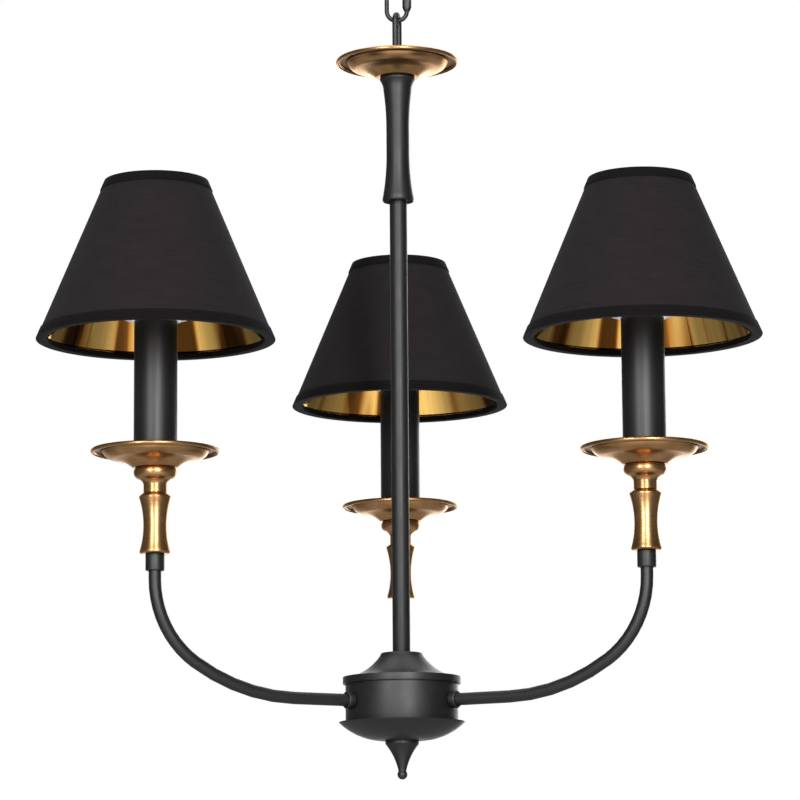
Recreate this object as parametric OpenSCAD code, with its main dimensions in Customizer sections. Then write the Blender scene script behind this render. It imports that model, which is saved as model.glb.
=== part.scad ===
// Three-light candle chandelier that hangs from a chain link.
// Millimetres, +Z up. The origin is where the chain bears on the inside of the top link.

/* [Hanging] */
// Wire diameter of the chain's lowest link
chain_wire = 3; // [2.6:0.1:4]
// Clear length inside the chain link
chain_eye_len = 24; // [20:1:40]
// Clear width inside the chain link
chain_eye_w = 9; // [8:0.5:14]
// Wire diameter of the threaded oval link
link_wire = 3; // [2.6:0.1:3.6]
// Clear length inside the oval link
link_eye_len = 30; // [29:1:40]
// Clear width inside the oval link
link_eye_w = 10.4; // [9.6:0.2:12]
// Length of the oval link's sleeve nut
link_nut_len = 12; // [10:0.5:12.5]
// Width of the sleeve nut across its flats
link_nut_af = 5.2; // [4.8:0.1:6]
// Gap in the oval link that the sleeve nut closes
link_mouth = 4.4; // [4.1:0.1:4.8]
// Length of the sleeve nut's tapered nose
link_nose = 2.4; // [1:0.1:3]
// Depth of the sleeve nut on the lower wire end
link_stub = 2.4; // [1.6:0.1:2.8]
// Wire diameter of the hanging loop
loop_wire = 4; // [3:0.1:4.6]
// Clear width inside the hanging loop
loop_eye_w = 7; // [6:0.5:9]
// Height of the loop's top over its washer
loop_h = 43; // [36:1:60]
// Height of the loop's threaded boss
loop_boss_h = 8; // [7:0.5:12]
// Radius of the loop's threaded boss
loop_boss_r = 9.4; // [9:0.1:11]
// Turn of the loop about the stem, in degrees
loop_turn = -12; // [-30:1:30]

/* [Dishes] */
// Rim radius of the top saucer and the drip dishes
dish_r = 40.8; // [34:0.2:48]
// Height of a dish from seat to rim
dish_h = 11.8; // [9:0.1:15]
// Thickness of the pressed dish
dish_t = 0.9; // [0.6:0.1:1.4]
// Radius at which a dish's cone meets its floor
dish_cone_r = 20.5; // [19:0.5:23]
// Height at which a dish's cone meets its floor
dish_cone_h = 4.2; // [3:0.1:4.8]
// Radius at which a dish's floor turns up into its wall
dish_floor_r = 27.5; // [26:0.1:29]
// Height at which a dish's floor turns up into its wall
dish_floor_h = 5.5; // [5:0.1:6.5]
// Radius at which a dish's wall turns out into its flange
dish_wall_r = 33.4; // [32.5:0.1:34.5]
// Height at which a dish's wall turns out into its flange
dish_wall_h = 9.7; // [8:0.1:10]
// Radius of the roll round a dish's rim
dish_roll_r = 1.3; // [1.2:0.05:1.5]

/* [Stem] */
// Length of the turned column under the saucer
column_len = 84.6; // [70:0.1:110]
// Radius of the column's top collar
column_top_r = 11.7; // [11:0.1:12]
// Radius of the column's neck, under its bead
column_neck_r = 9.3; // [8.8:0.1:10]
// Depth of the column's neck under its top
column_neck_drop = 9; // [7:0.5:12]
// Radius of the column's waist
column_waist_r = 7.6; // [7.2:0.1:8.4]
// Depth at which the column's straight waist begins
column_waist_drop = 34; // [26:1:42]
// Length of the column's straight waist
column_waist_len = 18; // [8:1:24]
// Radius of the column's foot
column_foot_r = 10.5; // [9.6:0.1:12]
// Length of stem tube that shows between column and hub
stem_show = 299.4; // [200:0.1:420]
// Radius of the stem tube
stem_r = 5.75; // [5.7:0.05:6]
// Radius of the threaded pipe in the stem's ends and the hub
pipe_r = 4.9; // [4.6:0.05:4.95]
// Bore radius of the threaded pipe
pipe_bore_r = 3.3; // [3:0.1:3.6]

/* [Hub] */
// Height of the trumpet lid over its lip
lid_h = 15.7; // [12:0.1:20]
// Radius of the lid's neck
lid_neck_r = 13.7; // [12:0.1:16]
// Overhang of the lid's lip past the drum
lid_overhang = 1.7; // [1.2:0.1:3]
// Height of the lid's lip
lid_lip_h = 4.6; // [3.6:0.1:6]
// Thickness of the hub's spun sheet
hub_t = 1.2; // [1:0.1:1.6]
// Radius of the drum
drum_r = 36.5; // [32:0.1:42]
// Distance from the lid's top down to the arms' axis
arm_level = 32; // [28:0.5:34]
// Distance from the lid's top down to the bowl's rim
bowl_level = 44.8; // [42:0.2:50]
// Overhang of the bowl's rim past the drum
bowl_overhang = 4.5; // [3.5:0.1:8]
// Depth of the bowl
bowl_h = 12; // [10.4:0.1:14]
// Radius of the finial's top
finial_r = 10.9; // [10:0.1:12]
// Length of the finial
finial_len = 25.1; // [22:0.1:34]
// Radius of the finial's ball
finial_ball_r = 3.25; // [3:0.05:4]

/* [Arms] */
// Radius of the circle that the candles stand on
arm_reach = 178; // [165:1:210]
// Radius of the arm tube
arm_r = 4; // [3.8:0.1:4.2]
// Wall of the arm tube
arm_wall = 1; // [0.8:0.1:1.2]
// Height from the arm's axis at the hub up to the ferrule
arm_rise = 76.3; // [72:0.1:84]
// Radius of the arm's tighter bend, under the candle
arm_bend_r = 60; // [52:1:64]
// Angle of the tighter bend, before the long sweep
arm_bend_angle = 58; // [52:1:62]
// Radius of the collar where an arm meets the drum
collar_r = 5.6; // [5.2:0.1:7]
// Width of that collar
collar_w = 5; // [3:0.5:8]

/* [Candles] */
// Radius of the ferrule on the arm's end
ferrule_r = 6; // [5.4:0.1:6.6]
// Length of the ferrule
ferrule_len = 10.6; // [8:0.1:14]
// Height of the brass vase
vase_h = 38.3; // [34:0.1:50]
// Radius of the vase's foot
vase_foot_r = 9.9; // [8.6:0.1:11]
// Radius of the vase's waist
vase_waist_r = 7.4; // [6.6:0.1:8.4]
// Radius of the vase's shoulder
vase_top_r = 10.3; // [9.4:0.1:12]
// Height of the vase's waist over its foot
vase_waist_up = 17.8; // [14:0.1:24]
// Height of the brass knob and its neck
knob_h = 16.2; // [14:0.2:22]
// Radius of the knob's neck
knob_neck_r = 7.4; // [7:0.05:8.2]
// Height of the neck under the knob
knob_neck_h = 5.5; // [4:0.1:7]
// Largest radius of the knob
knob_r = 13.3; // [12.8:0.1:15]
// Radius of the candle sleeve
sleeve_r = 13.75; // [13.4:0.05:14.2]
// Length of the candle sleeve
sleeve_len = 93; // [80:0.2:130]
// Wall of the candle sleeve
sleeve_wall = 1.1; // [0.8:0.1:1.4]
// Radius of the lamp thread's bore
lamp_bore_r = 7; // [6.9:0.05:7.1]
// Depth of the lamp thread's bore
lamp_bore_len = 23; // [20:0.5:26]
// Radius of the lampholder's outside thread
holder_thread_r = 13.7; // [13.3:0.05:13.9]
// Length of the lampholder's outside thread
holder_thread_len = 15; // [13:0.5:20]
// Radius of the lampholder's flange, which carries the shade
holder_flange_r = 16; // [15:0.1:17.5]
// Height of that flange
holder_flange_h = 2; // [1.4:0.1:3]
// Radius of the ring that clamps the shade
ring_r = 18.2; // [17:0.1:18.6]
// Height of that ring
shade_ring_h = 5.6; // [4:0.1:6.5]

/* [Shades] */
// Bottom radius of a shade
shade_bottom_r = 75.9; // [70:0.5:84]
// Top radius of a shade
shade_top_r = 33.2; // [32:0.2:44]
// Height of a shade
shade_h = 102.7; // [85:0.1:130]
// Depth that a shade hangs below the sleeve's top
shade_drop = 12; // [6:0.2:20]
// Radius of the shade's fitting washer
fitter_r = 21.7; // [21:0.1:24]
// Thickness of that washer
fitter_t = 1.6; // [1.2:0.1:2]
// Thickness of the fabric on its card
fabric_t = 0.9; // [0.6:0.1:1.4]
// Thickness of the foil lining
lining_t = 0.4; // [0.3:0.1:0.6]
// Thickness of the edge trim
trim_t = 0.5; // [0.4:0.1:0.8]
// Height of the edge trim
trim_h = 6.5; // [4:0.5:10]
// Wire diameter of the hoops in the shade's edges
hoop_wire = 2.8; // [2.6:0.1:3.4]
// Wire diameter of the three struts up to the top hoop
strut_wire = 2.2; // [1.8:0.1:2.4]

/* [Hidden] */
$fn = 72;
lights = [1, 2, 3];

// Clearances
hook_gap = 0.3;     // between linked wires
thread_gap = 0.1;   // radial, thread on thread
turn_gap = 0.25;    // radial, a ring that turns by hand
lift_gap = 0.4;     // radial, a washer that lifts over the thread
slip_gap = 0.15;    // radial, a tube pushed over a tube
seat_gap = 0.05;    // a flat face drawn up to a round one
glue_gap = 0.1;     // between glued skins
hair = 0.02;        // how much a joint piece stands proud of the wires that it joins
lap = 0.4;          // how far a joint piece reaches over each of them

// Small thicknesses and fasteners
washer_t = 1;
washer_r = 10.5;
pipe_grip = 14;
pipe_in_ferrule = 4;
pipe_in_pillar = 8;
pipe_in_finial = 4.6;
pillar_wall = 2;
nut_h = 5;
nut_af = 14;
arm_nut_af = 12;
arm_nut_h = 4.6;
candle_nut_h = 3.4;
candle_nut_af = 12;
well_r = 4;
well_h = 4;
holder_tail = 16;
column_cap = 8.5;
drum_floor_up = 2;
finial_ledge = 1;
wire_r = 1.6;
chamfer = 0.8;
edge = 0.4;
cut_over = 1;

// Profile details
nose_wall = 0.6;
cone_hollow = 0.3;
floor_hollow = 0.2;
dish_wall_bow = 0.8;
wall_in = 0.45;
flange_bend = 2.2;
flange_hollow = 0.3;
flange_up = 0.1;
seat_ledge = 0.45;
bead_h = 2.6;
bead_bulge = 0.6;
groove_w = 0.2;
foot_edge = 0.5;
foot_edge_h = 1.4;
shoulder_r = 1.4;
flange_w = 2.6;
flange_dip = 0.2;
sheet_in = 0.5;
trumpet_hollow = 2.7;
rim_h = 1.8;
finial_neck_in = 0.75;
finial_hollow = 1.2;
vase_edge = 1;
vase_bevel = 2.2;
vase_ledge = 0.5;
cove_w = 2.6;
cove_h = 3.7;
cove_hollow = 0.7;
crown_in = 1.1;
knob_bulge = 2;
ring_flange_h = 2;

// Heights down the middle
z_link_in = hook_gap - chain_eye_len;
z_link_floor = z_link_in - link_eye_len;
z_loop_top = z_link_floor + hook_gap + loop_wire;
z_washer = z_loop_top - loop_h;
z_saucer_floor = z_washer - washer_t;
z_column_top = z_saucer_floor - dish_t;
z_stem_top = z_column_top - column_cap;
z_column_foot = z_column_top - column_len;
z_lid_top = z_column_foot - stem_show;
z_lip_top = z_lid_top - lid_h;
z_arm = z_lid_top - arm_level;
z_bowl_rim = z_lid_top - bowl_level;
z_bowl_floor = z_bowl_rim - bowl_h;
z_finial_tip = z_bowl_floor - finial_len;

// Heights up a candle
z_ferrule = z_arm + arm_rise;
z_vase = z_ferrule + ferrule_len;
z_knob = z_vase + vase_h;
z_dish = z_knob + knob_h;
z_sleeve = z_dish + dish_t;
z_sleeve_top = z_sleeve + sleeve_len;
z_fitter = z_sleeve_top + holder_flange_h;
z_ring = z_fitter + fitter_t;
z_holder_top = z_fitter + holder_thread_len;
z_socket_floor = z_holder_top - lamp_bore_len;
z_holder_base = z_socket_floor - holder_tail;
z_candle_nut = z_sleeve + washer_t;
z_pillar = z_candle_nut + candle_nut_h;
z_shade = z_sleeve_top - shade_drop;
z_shade_top = z_shade + shade_h;

// A dish's flat seat is a little wider than the sleeve that stands on it
dish_seat_r = sleeve_r + seat_ledge;

// The lid's lip and the bowl's rim both stand out past the drum
lid_lip_r = drum_r + lid_overhang;
bowl_r = drum_r + bowl_overhang;

// The bowl rises in one arc from the flat floor over the finial, and the drum stands on that arc
bowl_flat_r = finial_r + finial_ledge;
bowl_arc_r = ((bowl_r - bowl_flat_r) ^ 2 + bowl_h ^ 2) / (2 * bowl_h);
z_bowl_arc = z_bowl_floor + bowl_arc_r;
z_drum_foot = z_bowl_arc + seat_gap
    - sqrt((bowl_arc_r - hub_t) ^ 2 - (drum_r - bowl_flat_r) ^ 2);
z_drum_top = z_lip_top - hub_t;
z_drum_floor = z_bowl_rim + drum_floor_up;

// The arm drops straight from its ferrule, then turns through a tight bend and a long sweep
arm_bend_start = 5.2;
z_bend = z_ferrule - arm_bend_start;
arm_sweep_r = (z_bend - z_arm - arm_bend_r * sin(arm_bend_angle)) / (1 - sin(arm_bend_angle));
bend_x = arm_reach - arm_bend_r;
sweep_x = bend_x + (arm_bend_r - arm_sweep_r) * cos(arm_bend_angle);
z_sweep = z_arm + arm_sweep_r;
arm_grip = ferrule_len - pipe_in_ferrule;
arm_nut_x = sqrt((drum_r - hub_t) ^ 2 - (arm_nut_af / sqrt(3)) ^ 2) - seat_gap - arm_nut_h;
arm_end_x = arm_nut_x - chamfer;

// The connector block lies on the drum's floor, in front of the pipe
block_w = 30;
block_d = 11;
block_h = 7;
block_y = -20;
block_pitch = 7;
z_block_top = z_drum_floor + block_h;
feed_rise = 5;
z_feed_exit = z_arm + feed_rise;

// Shade walls are cones, so their radius follows from the height
shade_slope = (shade_bottom_r - shade_top_r) / shade_h;
fabric_out = trim_t + glue_gap;
fabric_in = fabric_out + fabric_t;
lining_out = fabric_in + glue_gap;
lining_in = lining_out + lining_t;
hoop_r = hoop_wire / 2;

// The trim folds round each edge, over the fabric and the hoop inside it
fold = trim_t + glue_gap;
hoop_rise = fold + hoop_r;
tuck = hoop_rise + hoop_r / 2;
z_top_hoop = z_shade_top - hoop_rise;
z_low_hoop = z_shade + hoop_rise;
top_hoop_r = shade_r(z_top_hoop + hoop_r, lining_in + glue_gap) - hoop_r;
low_hoop_r = shade_r(z_low_hoop + hoop_r, lining_in + glue_gap) - hoop_r;

black = "#2b292b";
brass = "#9c7440";
foil = "#d9a845";
steel = "#b9bcc0";
white = "#dfe2e4";

// Points on an arc from p to q that stands off its chord by sag, to the right of the way it goes
function bow(p, q, sag, n = 10) =
    let (chord = norm(q - p),
         along = (q - p) / chord,
         right = [along[1], -along[0]],
         arc_r = (chord ^ 2 / 4 + sag ^ 2) / (2 * sag),
         centre = (p + q) / 2 - (arc_r - sag) * right,
         half = asin(chord / 2 / arc_r))
    [for (i = [0:n]) let (a = half * (2 * i / n - 1))
        centre + arc_r * (cos(a) * right + sin(a) * along)];

// Points from a waist to a wider end, upright at the waist
function flare(waist, end, n = 10) =
    let (dr = end[0] - waist[0],
         dz = end[1] - waist[1],
         arc_r = (dr ^ 2 + dz ^ 2) / (2 * dr))
    [for (i = [0:n]) let (z = dz * i / n)
        [waist[0] + arc_r - sqrt(arc_r ^ 2 - z ^ 2), waist[1] + z]];

function backwards(points) = [for (i = [len(points) - 1:-1:0]) points[i]];

function after_first(points) = [for (i = [1:len(points) - 1]) points[i]];

// Where each light stands, with one arm to the back
module at_light(k) {
    rotate([0, 0, 120 * k - 30])
        children();
}

module at_candle(k) {
    at_light(k)
        translate([arm_reach, 0, 0])
            children();
}

// Outer radius of the shade at height z, less a depth into its wall
function shade_r(z, depth) = shade_bottom_r - shade_slope * (z - z_shade) - depth;

module tube(r, bore_r, z_low, z_high) {
    rotate_extrude()
        translate([bore_r, z_low])
            square([r - bore_r, z_high - z_low]);
}

module rod(p, q, r) {
    v = q - p;
    translate(p)
        rotate([0, acos(v[2] / norm(v)), atan2(v[1], v[0])])
            cylinder(r = r, h = norm(v));
}

// A wire through a row of points, with a ball at each turn
module wire_run(points) {
    for (i = [0:len(points) - 2])
        rod(points[i], points[i + 1], wire_r);
    for (i = [1:len(points) - 2])
        translate(points[i])
            sphere(r = wire_r + hair);
}

// Nut with chamfered corners, whose lower end can narrow to a nose
module hex_nut(af, bore_r, h, nose_r, nose_h) {
    corner_r = af / sqrt(3);
    difference() {
        intersection() {
            cylinder(r = corner_r, h = h, $fn = 6);
            rotate_extrude()
                polygon([[0, 0], [nose_r, 0], [corner_r, nose_h], [corner_r, h - chamfer],
                         [af / 2, h], [0, h]]);
        }
        translate([0, 0, -cut_over])
            cylinder(r = bore_r, h = h + 2 * cut_over);
    }
}

module plain_nut(af, bore_r, h) {
    hex_nut(af, bore_r, h, af / 2, chamfer);
}

// Half a turn of wire, standing in the XZ plane with its ends down
module wire_bow(bend, wire) {
    rotate([90, 0, 0])
        rotate_extrude(angle = 180)
            translate([bend, 0])
                circle(d = wire);
}

module chain_link() {
    bend = (chain_eye_w + chain_wire) / 2;
    leg = chain_eye_len - chain_eye_w;
    z_top = -chain_eye_w / 2;
    color(black)
        rotate([0, 0, 90]) {
            translate([0, 0, z_top])
                wire_bow(bend, chain_wire);
            translate([0, 0, z_top - leg])
                mirror([0, 0, 1])
                    wire_bow(bend, chain_wire);
            for (side = [-1, 1])
                translate([side * bend, 0, z_top - leg])
                    cylinder(d = chain_wire, h = leg);
        }
}

link_bend = (link_eye_w + link_wire) / 2;
link_leg = link_eye_len - link_eye_w;
z_link_legs = z_link_floor + link_eye_w / 2;

// The right leg is open between its two ends, where the sleeve nut bridges it
module quick_link() {
    color(black) {
        translate([0, 0, z_link_legs + link_leg])
            wire_bow(link_bend, link_wire);
        translate([0, 0, z_link_legs])
            mirror([0, 0, 1])
                wire_bow(link_bend, link_wire);
        translate([-link_bend, 0, z_link_legs])
            cylinder(d = link_wire, h = link_leg);
        translate([link_bend, 0, z_link_legs])
            cylinder(d = link_wire, h = link_stub);
        translate([link_bend, 0, z_link_legs + link_stub + link_mouth])
            cylinder(d = link_wire, h = link_leg - link_stub - link_mouth);
    }
}

module quick_link_nut() {
    color(black)
        translate([link_bend, 0, z_link_legs])
            hex_nut(link_nut_af, link_wire / 2 + thread_gap, link_nut_len,
                    link_wire / 2 + nose_wall, link_nose);
}

module hanging_loop() {
    bend = (loop_eye_w + loop_wire) / 2;
    z_bow = z_loop_top - loop_wire / 2 - bend;
    z_boss_top = z_washer + loop_boss_h;
    color(black)
        rotate([0, 0, 90 + loop_turn]) {
            translate([0, 0, z_bow])
                wire_bow(bend, loop_wire);
            for (side = [-1, 1])
                translate([side * bend, 0, z_boss_top])
                    cylinder(d = loop_wire, h = z_bow - z_boss_top);
            rotate_extrude()
                polygon([[pipe_r + thread_gap, z_washer], [loop_boss_r, z_washer],
                         [loop_boss_r, z_boss_top - chamfer], [loop_boss_r - chamfer, z_boss_top],
                         [pipe_r + thread_gap, z_boss_top]]);
        }
}

module loop_washer() {
    color(steel)
        tube(washer_r, pipe_r + slip_gap, z_saucer_floor, z_washer);
}

// Pressed dish: flat seat, short cone, nearly flat floor, round wall and a flange with a rolled rim
module dish(hole_r, z_seat) {
    cone_end = [dish_cone_r, dish_cone_h];
    floor_end = [dish_floor_r, dish_floor_h];
    wall_end = [dish_wall_r, dish_wall_h];
    roll = [dish_r - dish_roll_r, dish_h - dish_roll_r];
    flange_start = [dish_wall_r + flange_bend, roll[1] + flange_up];
    middle = concat(
        [[hole_r, 0]],
        bow([dish_seat_r, 0], cone_end, -cone_hollow, 6),
        after_first(bow(cone_end, floor_end, -floor_hollow, 4)));
    outside = concat(
        after_first(bow(floor_end, wall_end, dish_wall_bow, 10)),
        after_first(bow(wall_end, flange_start, -flange_hollow, 5)));
    roll_from = 180 - asin(flange_up / dish_roll_r);
    roll_to = 540 - asin((flange_up + dish_t) / dish_roll_r);
    roll_turn = (roll_to - roll_from) / 20;
    translate([0, 0, z_seat])
        rotate_extrude()
            polygon(concat(
                middle,
                outside,
                [for (i = [0:20]) let (a = roll_from + i * roll_turn) roll + dish_roll_r * [cos(a), sin(a)]],
                [for (p = backwards(outside)) p + [-wall_in, dish_t]],
                [for (p = backwards(middle)) p + [0, dish_t]]));
}

module top_saucer() {
    color(brass)
        dish(pipe_r + slip_gap, z_column_top);
}

// Turned sleeve over the stem, with a bead at its top and an inner shoulder on the stem's end
module column() {
    waist_high = [column_waist_r, z_column_top - column_waist_drop];
    waist_low = waist_high - [0, column_waist_len];
    neck = [column_neck_r, z_column_top - column_neck_drop];
    foot = [column_foot_r, z_column_foot + foot_edge_h];
    bead_high = [column_top_r - bead_bulge, z_column_top];
    bead_low = bead_high - [0, bead_h];
    outside = concat(
        [[column_foot_r - foot_edge, z_column_foot]],
        backwards(flare(waist_low, foot)),
        flare(waist_high, neck),
        bow(neck, bead_low - [groove_w, edge], -edge, 5),
        bow(bead_low, bead_high, bead_bulge, 6));
    color(black)
        difference() {
            rotate_extrude()
                polygon(concat([[0, z_column_foot]], outside, [[0, z_column_top]]));
            translate([0, 0, z_column_foot - cut_over])
                cylinder(r = stem_r + slip_gap, h = z_stem_top - z_column_foot + cut_over);
            translate([0, 0, z_stem_top - cut_over])
                cylinder(r = pipe_r + slip_gap, h = z_column_top - z_stem_top + 2 * cut_over);
        }
}

module stem_tube() {
    color(black)
        tube(stem_r, pipe_r + thread_gap, z_lid_top, z_stem_top);
}

module top_pipe() {
    color(steel)
        tube(pipe_r, pipe_bore_r, z_stem_top - pipe_grip, z_washer + loop_boss_h - chamfer);
}

// Spun trumpet with a small round shoulder, a flat flange and a skirt over the drum
module hub_lid() {
    sheet = [sheet_in, hub_t + flange_dip];
    shoulder = [lid_neck_r, z_lid_top - shoulder_r];
    flare_end = [lid_lip_r - flange_w, z_lip_top - flange_dip];
    crown = bow(shoulder, [lid_neck_r - shoulder_r, z_lid_top], edge, 5);
    trumpet = bow(flare_end, shoulder, -trumpet_hollow, 14);
    inner_flare = [for (p = backwards(trumpet)) p - sheet];
    skirt_r = drum_r + slip_gap;
    z_skirt = z_lip_top - lid_lip_h;
    color(black)
        rotate_extrude()
            polygon(concat(
                [[pipe_r + slip_gap, z_lid_top - hub_t]],
                [[lid_neck_r - shoulder_r - edge, z_lid_top - hub_t]],
                inner_flare,
                [[drum_r - hub_t - slip_gap, z_drum_top], [skirt_r, z_drum_top], [skirt_r, z_skirt]],
                [[lid_lip_r - edge, z_skirt], [lid_lip_r, z_skirt + edge]],
                [[lid_lip_r, z_lip_top - chamfer], [lid_lip_r - chamfer, z_lip_top]],
                trumpet,
                crown,
                [[pipe_r + slip_gap, z_lid_top]]));
}

// Rolled wall and a floor in one piece, with a hole for each arm
module hub_drum() {
    wall_in_r = drum_r - hub_t;
    hole_r = pipe_r + slip_gap;
    color(black)
        difference() {
            rotate_extrude()
                polygon([[wall_in_r, z_drum_foot], [drum_r, z_drum_foot], [drum_r, z_drum_top],
                         [wall_in_r, z_drum_top], [wall_in_r, z_drum_floor], [hole_r, z_drum_floor],
                         [hole_r, z_drum_floor - hub_t], [wall_in_r, z_drum_floor - hub_t]]);
            for (k = lights)
                at_light(k)
                    translate([0, 0, z_arm])
                        rotate([0, 90, 0])
                            cylinder(r = arm_r + slip_gap, h = drum_r + cut_over);
        }
}

// Points of the bowl's arc at radius r about its centre, from the floor up to the rim's height
function bowl_arc(r, turn, n = 14) =
    [for (i = [0:n]) let (a = turn * i / n) [bowl_flat_r + r * sin(a), z_bowl_arc - r * cos(a)]];

module hub_bowl() {
    inner_r = bowl_arc_r - hub_t;
    rise = z_bowl_arc - z_bowl_rim;
    color(black)
        rotate_extrude()
            polygon(concat(
                [[pipe_r + slip_gap, z_bowl_floor]],
                bowl_arc(bowl_arc_r, acos(rise / bowl_arc_r)),
                backwards(bowl_arc(inner_r, acos(rise / inner_r))),
                [[pipe_r + slip_gap, z_bowl_floor + hub_t]]));
}

// Cone that curves in from a straight rim and ends in a small ball
module finial() {
    steps = 10;
    ball_z = z_finial_tip + finial_ball_r;
    neck_r = finial_ball_r - finial_neck_in;
    neck_z = ball_z + sqrt(finial_ball_r ^ 2 - neck_r ^ 2);
    cone_top = [finial_r - edge, z_bowl_floor - rim_h - edge];
    cone = bow([neck_r, neck_z], cone_top, -finial_hollow, steps);
    ball_turn = (90 + acos(neck_r / finial_ball_r)) / steps;
    ball = [for (i = [0:steps - 1]) let (a = i * ball_turn - 90)
        [finial_ball_r * cos(a), ball_z + finial_ball_r * sin(a)]];
    color(black)
        difference() {
            rotate_extrude()
                polygon(concat(ball, cone, [[finial_r, z_bowl_floor - rim_h],
                    [finial_r, z_bowl_floor], [0, z_bowl_floor]]));
            translate([0, 0, z_bowl_floor - pipe_in_finial - edge])
                cylinder(r = pipe_r + thread_gap, h = pipe_in_finial + cut_over);
        }
}

// Threaded pipe through the hub, cross-drilled for the feed wire
module hub_pipe() {
    color(steel)
        difference() {
            tube(pipe_r, pipe_bore_r, z_bowl_floor - pipe_in_finial, z_lid_top + pipe_grip);
            rod([0, 0, z_feed_exit], [-block_pitch / 2, block_y, z_feed_exit], wire_r + chamfer);
        }
}

// One nut holds the lid to the stem, the other draws the drum up to the lid
module hub_nuts() {
    color(steel)
        for (z = [z_lid_top - hub_t - nut_h, z_drum_floor - hub_t - nut_h])
            translate([0, 0, z])
                plain_nut(nut_af, pipe_r + thread_gap, nut_h);
}

module arm_collars() {
    color(black)
        for (k = lights)
            at_light(k)
                translate([drum_r + seat_gap, 0, z_arm])
                    rotate([0, 90, 0])
                        rotate_extrude()
                            polygon([[arm_r + slip_gap, 0], [collar_r, 0], [collar_r, collar_w - chamfer],
                                     [collar_r - chamfer, collar_w], [arm_r + slip_gap, collar_w]]);
}

module arm_nuts() {
    color(steel)
        for (k = lights)
            at_light(k)
                translate([arm_nut_x, 0, z_arm])
                    rotate([0, 90, 0])
                        plain_nut(arm_nut_af, arm_r + thread_gap, arm_nut_h);
}

module terminal_block() {
    color(white)
        translate([-block_w / 2, block_y - block_d / 2, z_drum_floor])
            cube([block_w, block_d, block_h]);
}

// The arm's route, as a solid bar of radius r from x_low at the hub to z_high in the candle.
// Its straights and bends stop short of each other, and a joint piece bridges each gap.
module arm_route(r, x_low, z_high) {
    mid_x = bend_x + arm_bend_r * cos(arm_bend_angle);
    z_mid = z_bend - arm_bend_r * sin(arm_bend_angle);
    translate([x_low, 0, z_arm])
        rotate([0, 90, 0])
            cylinder(r = r, h = sweep_x - lap / 2 - x_low);
    translate([sweep_x, 0, z_arm])
        route_joint(90, r);
    translate([sweep_x, 0, z_sweep])
        arm_bow(arm_sweep_r, arm_bend_angle, 90, r);
    translate([mid_x, 0, z_mid])
        route_joint(arm_bend_angle, r);
    translate([bend_x, 0, z_bend])
        arm_bow(arm_bend_r, 0, arm_bend_angle, r);
    translate([arm_reach, 0, z_bend])
        route_joint(0, r);
    translate([arm_reach, 0, z_bend + lap / 2])
        cylinder(r = r, h = z_high - z_bend - lap / 2);
}

// Bend in the XZ plane, with its angles counted down from +X
module arm_bow(bend, from, to, r) {
    short = lap / 2 / bend * 180 / PI;
    rotate([-90, 0, 0])
        rotate([0, 0, from + short])
            rotate_extrude(angle = to - from - 2 * short)
                translate([bend, 0])
                    circle(r = r);
}

module route_joint(angle, r) {
    rotate([0, angle, 0])
        cylinder(r = r + hair, h = 2 * lap, center = true);
}

module arm(k) {
    color(black)
        at_light(k)
            difference() {
                arm_route(arm_r, arm_end_x, z_ferrule + arm_grip);
                arm_route(arm_r - arm_wall, arm_end_x - cut_over, z_ferrule + arm_grip + cut_over);
            }
}

// Leads from the connector block to each arm, then along the arm and up to the lampholder
module arm_wires() {
    z_low = z_block_top;
    entry = block_pitch / 2 * [1, -3, 3];
    round_pipe = 2 * pipe_r;
    color(white)
        for (k = lights) {
            mouth = arm_end_x * [cos(120 * k - 30), sin(120 * k - 30), 0] + [0, 0, z_arm];
            way = k == 1 ? [[round_pipe, -wire_r, z_arm]] : [];
            wire_run(concat([mouth], way, [[entry[k - 1], block_y, z_arm], [entry[k - 1], block_y, z_low]]));
            at_light(k) {
                arm_route(wire_r, arm_end_x, z_holder_base);
                translate([arm_end_x, 0, z_arm])
                    sphere(r = wire_r + hair);
            }
        }
}

module feed_wire() {
    entry = [-block_pitch / 2, block_y];
    color(white)
        wire_run([[0, 0, z_washer + loop_boss_h - chamfer], [0, 0, z_feed_exit],
                  [entry[0], entry[1], z_feed_exit], [entry[0], entry[1], z_block_top]]);
}

module ferrules() {
    color(black)
        for (k = lights)
            at_candle(k)
                rotate_extrude()
                    polygon([[arm_r + thread_gap, z_ferrule], [ferrule_r - edge, z_ferrule],
                             [ferrule_r, z_ferrule + edge], [ferrule_r, z_vase],
                             [arm_r + thread_gap, z_vase]]);
}

// Threaded pipes that hold each candle's stack together
module candle_pipes() {
    color(steel)
        for (k = lights)
            at_candle(k)
                tube(arm_r, arm_r - arm_wall, z_ferrule + arm_grip, z_pillar + pipe_in_pillar);
}

module candle_nuts() {
    color(steel)
        for (k = lights)
            at_candle(k) {
                tube(sleeve_r - sleeve_wall - slip_gap, arm_r + slip_gap, z_sleeve, z_candle_nut);
                translate([0, 0, z_candle_nut])
                    plain_nut(candle_nut_af, arm_r + thread_gap, candle_nut_h);
            }
}

module holder_pillars() {
    color(steel)
        for (k = lights)
            at_candle(k)
                tube(arm_r + pillar_wall, arm_r + thread_gap, z_pillar, z_holder_base);
}

module vase(k) {
    waist = [vase_waist_r, z_vase + vase_waist_up];
    color(brass)
        at_candle(k)
            rotate_extrude()
                polygon(concat(
                    [[arm_r + slip_gap, z_vase], [vase_foot_r - vase_edge, z_vase]],
                    backwards(flare(waist, [vase_foot_r, z_vase + vase_edge])),
                    flare(waist, [vase_top_r, z_knob - vase_bevel]),
                    [[knob_neck_r + vase_ledge, z_knob], [arm_r + slip_gap, z_knob]]));
}

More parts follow.
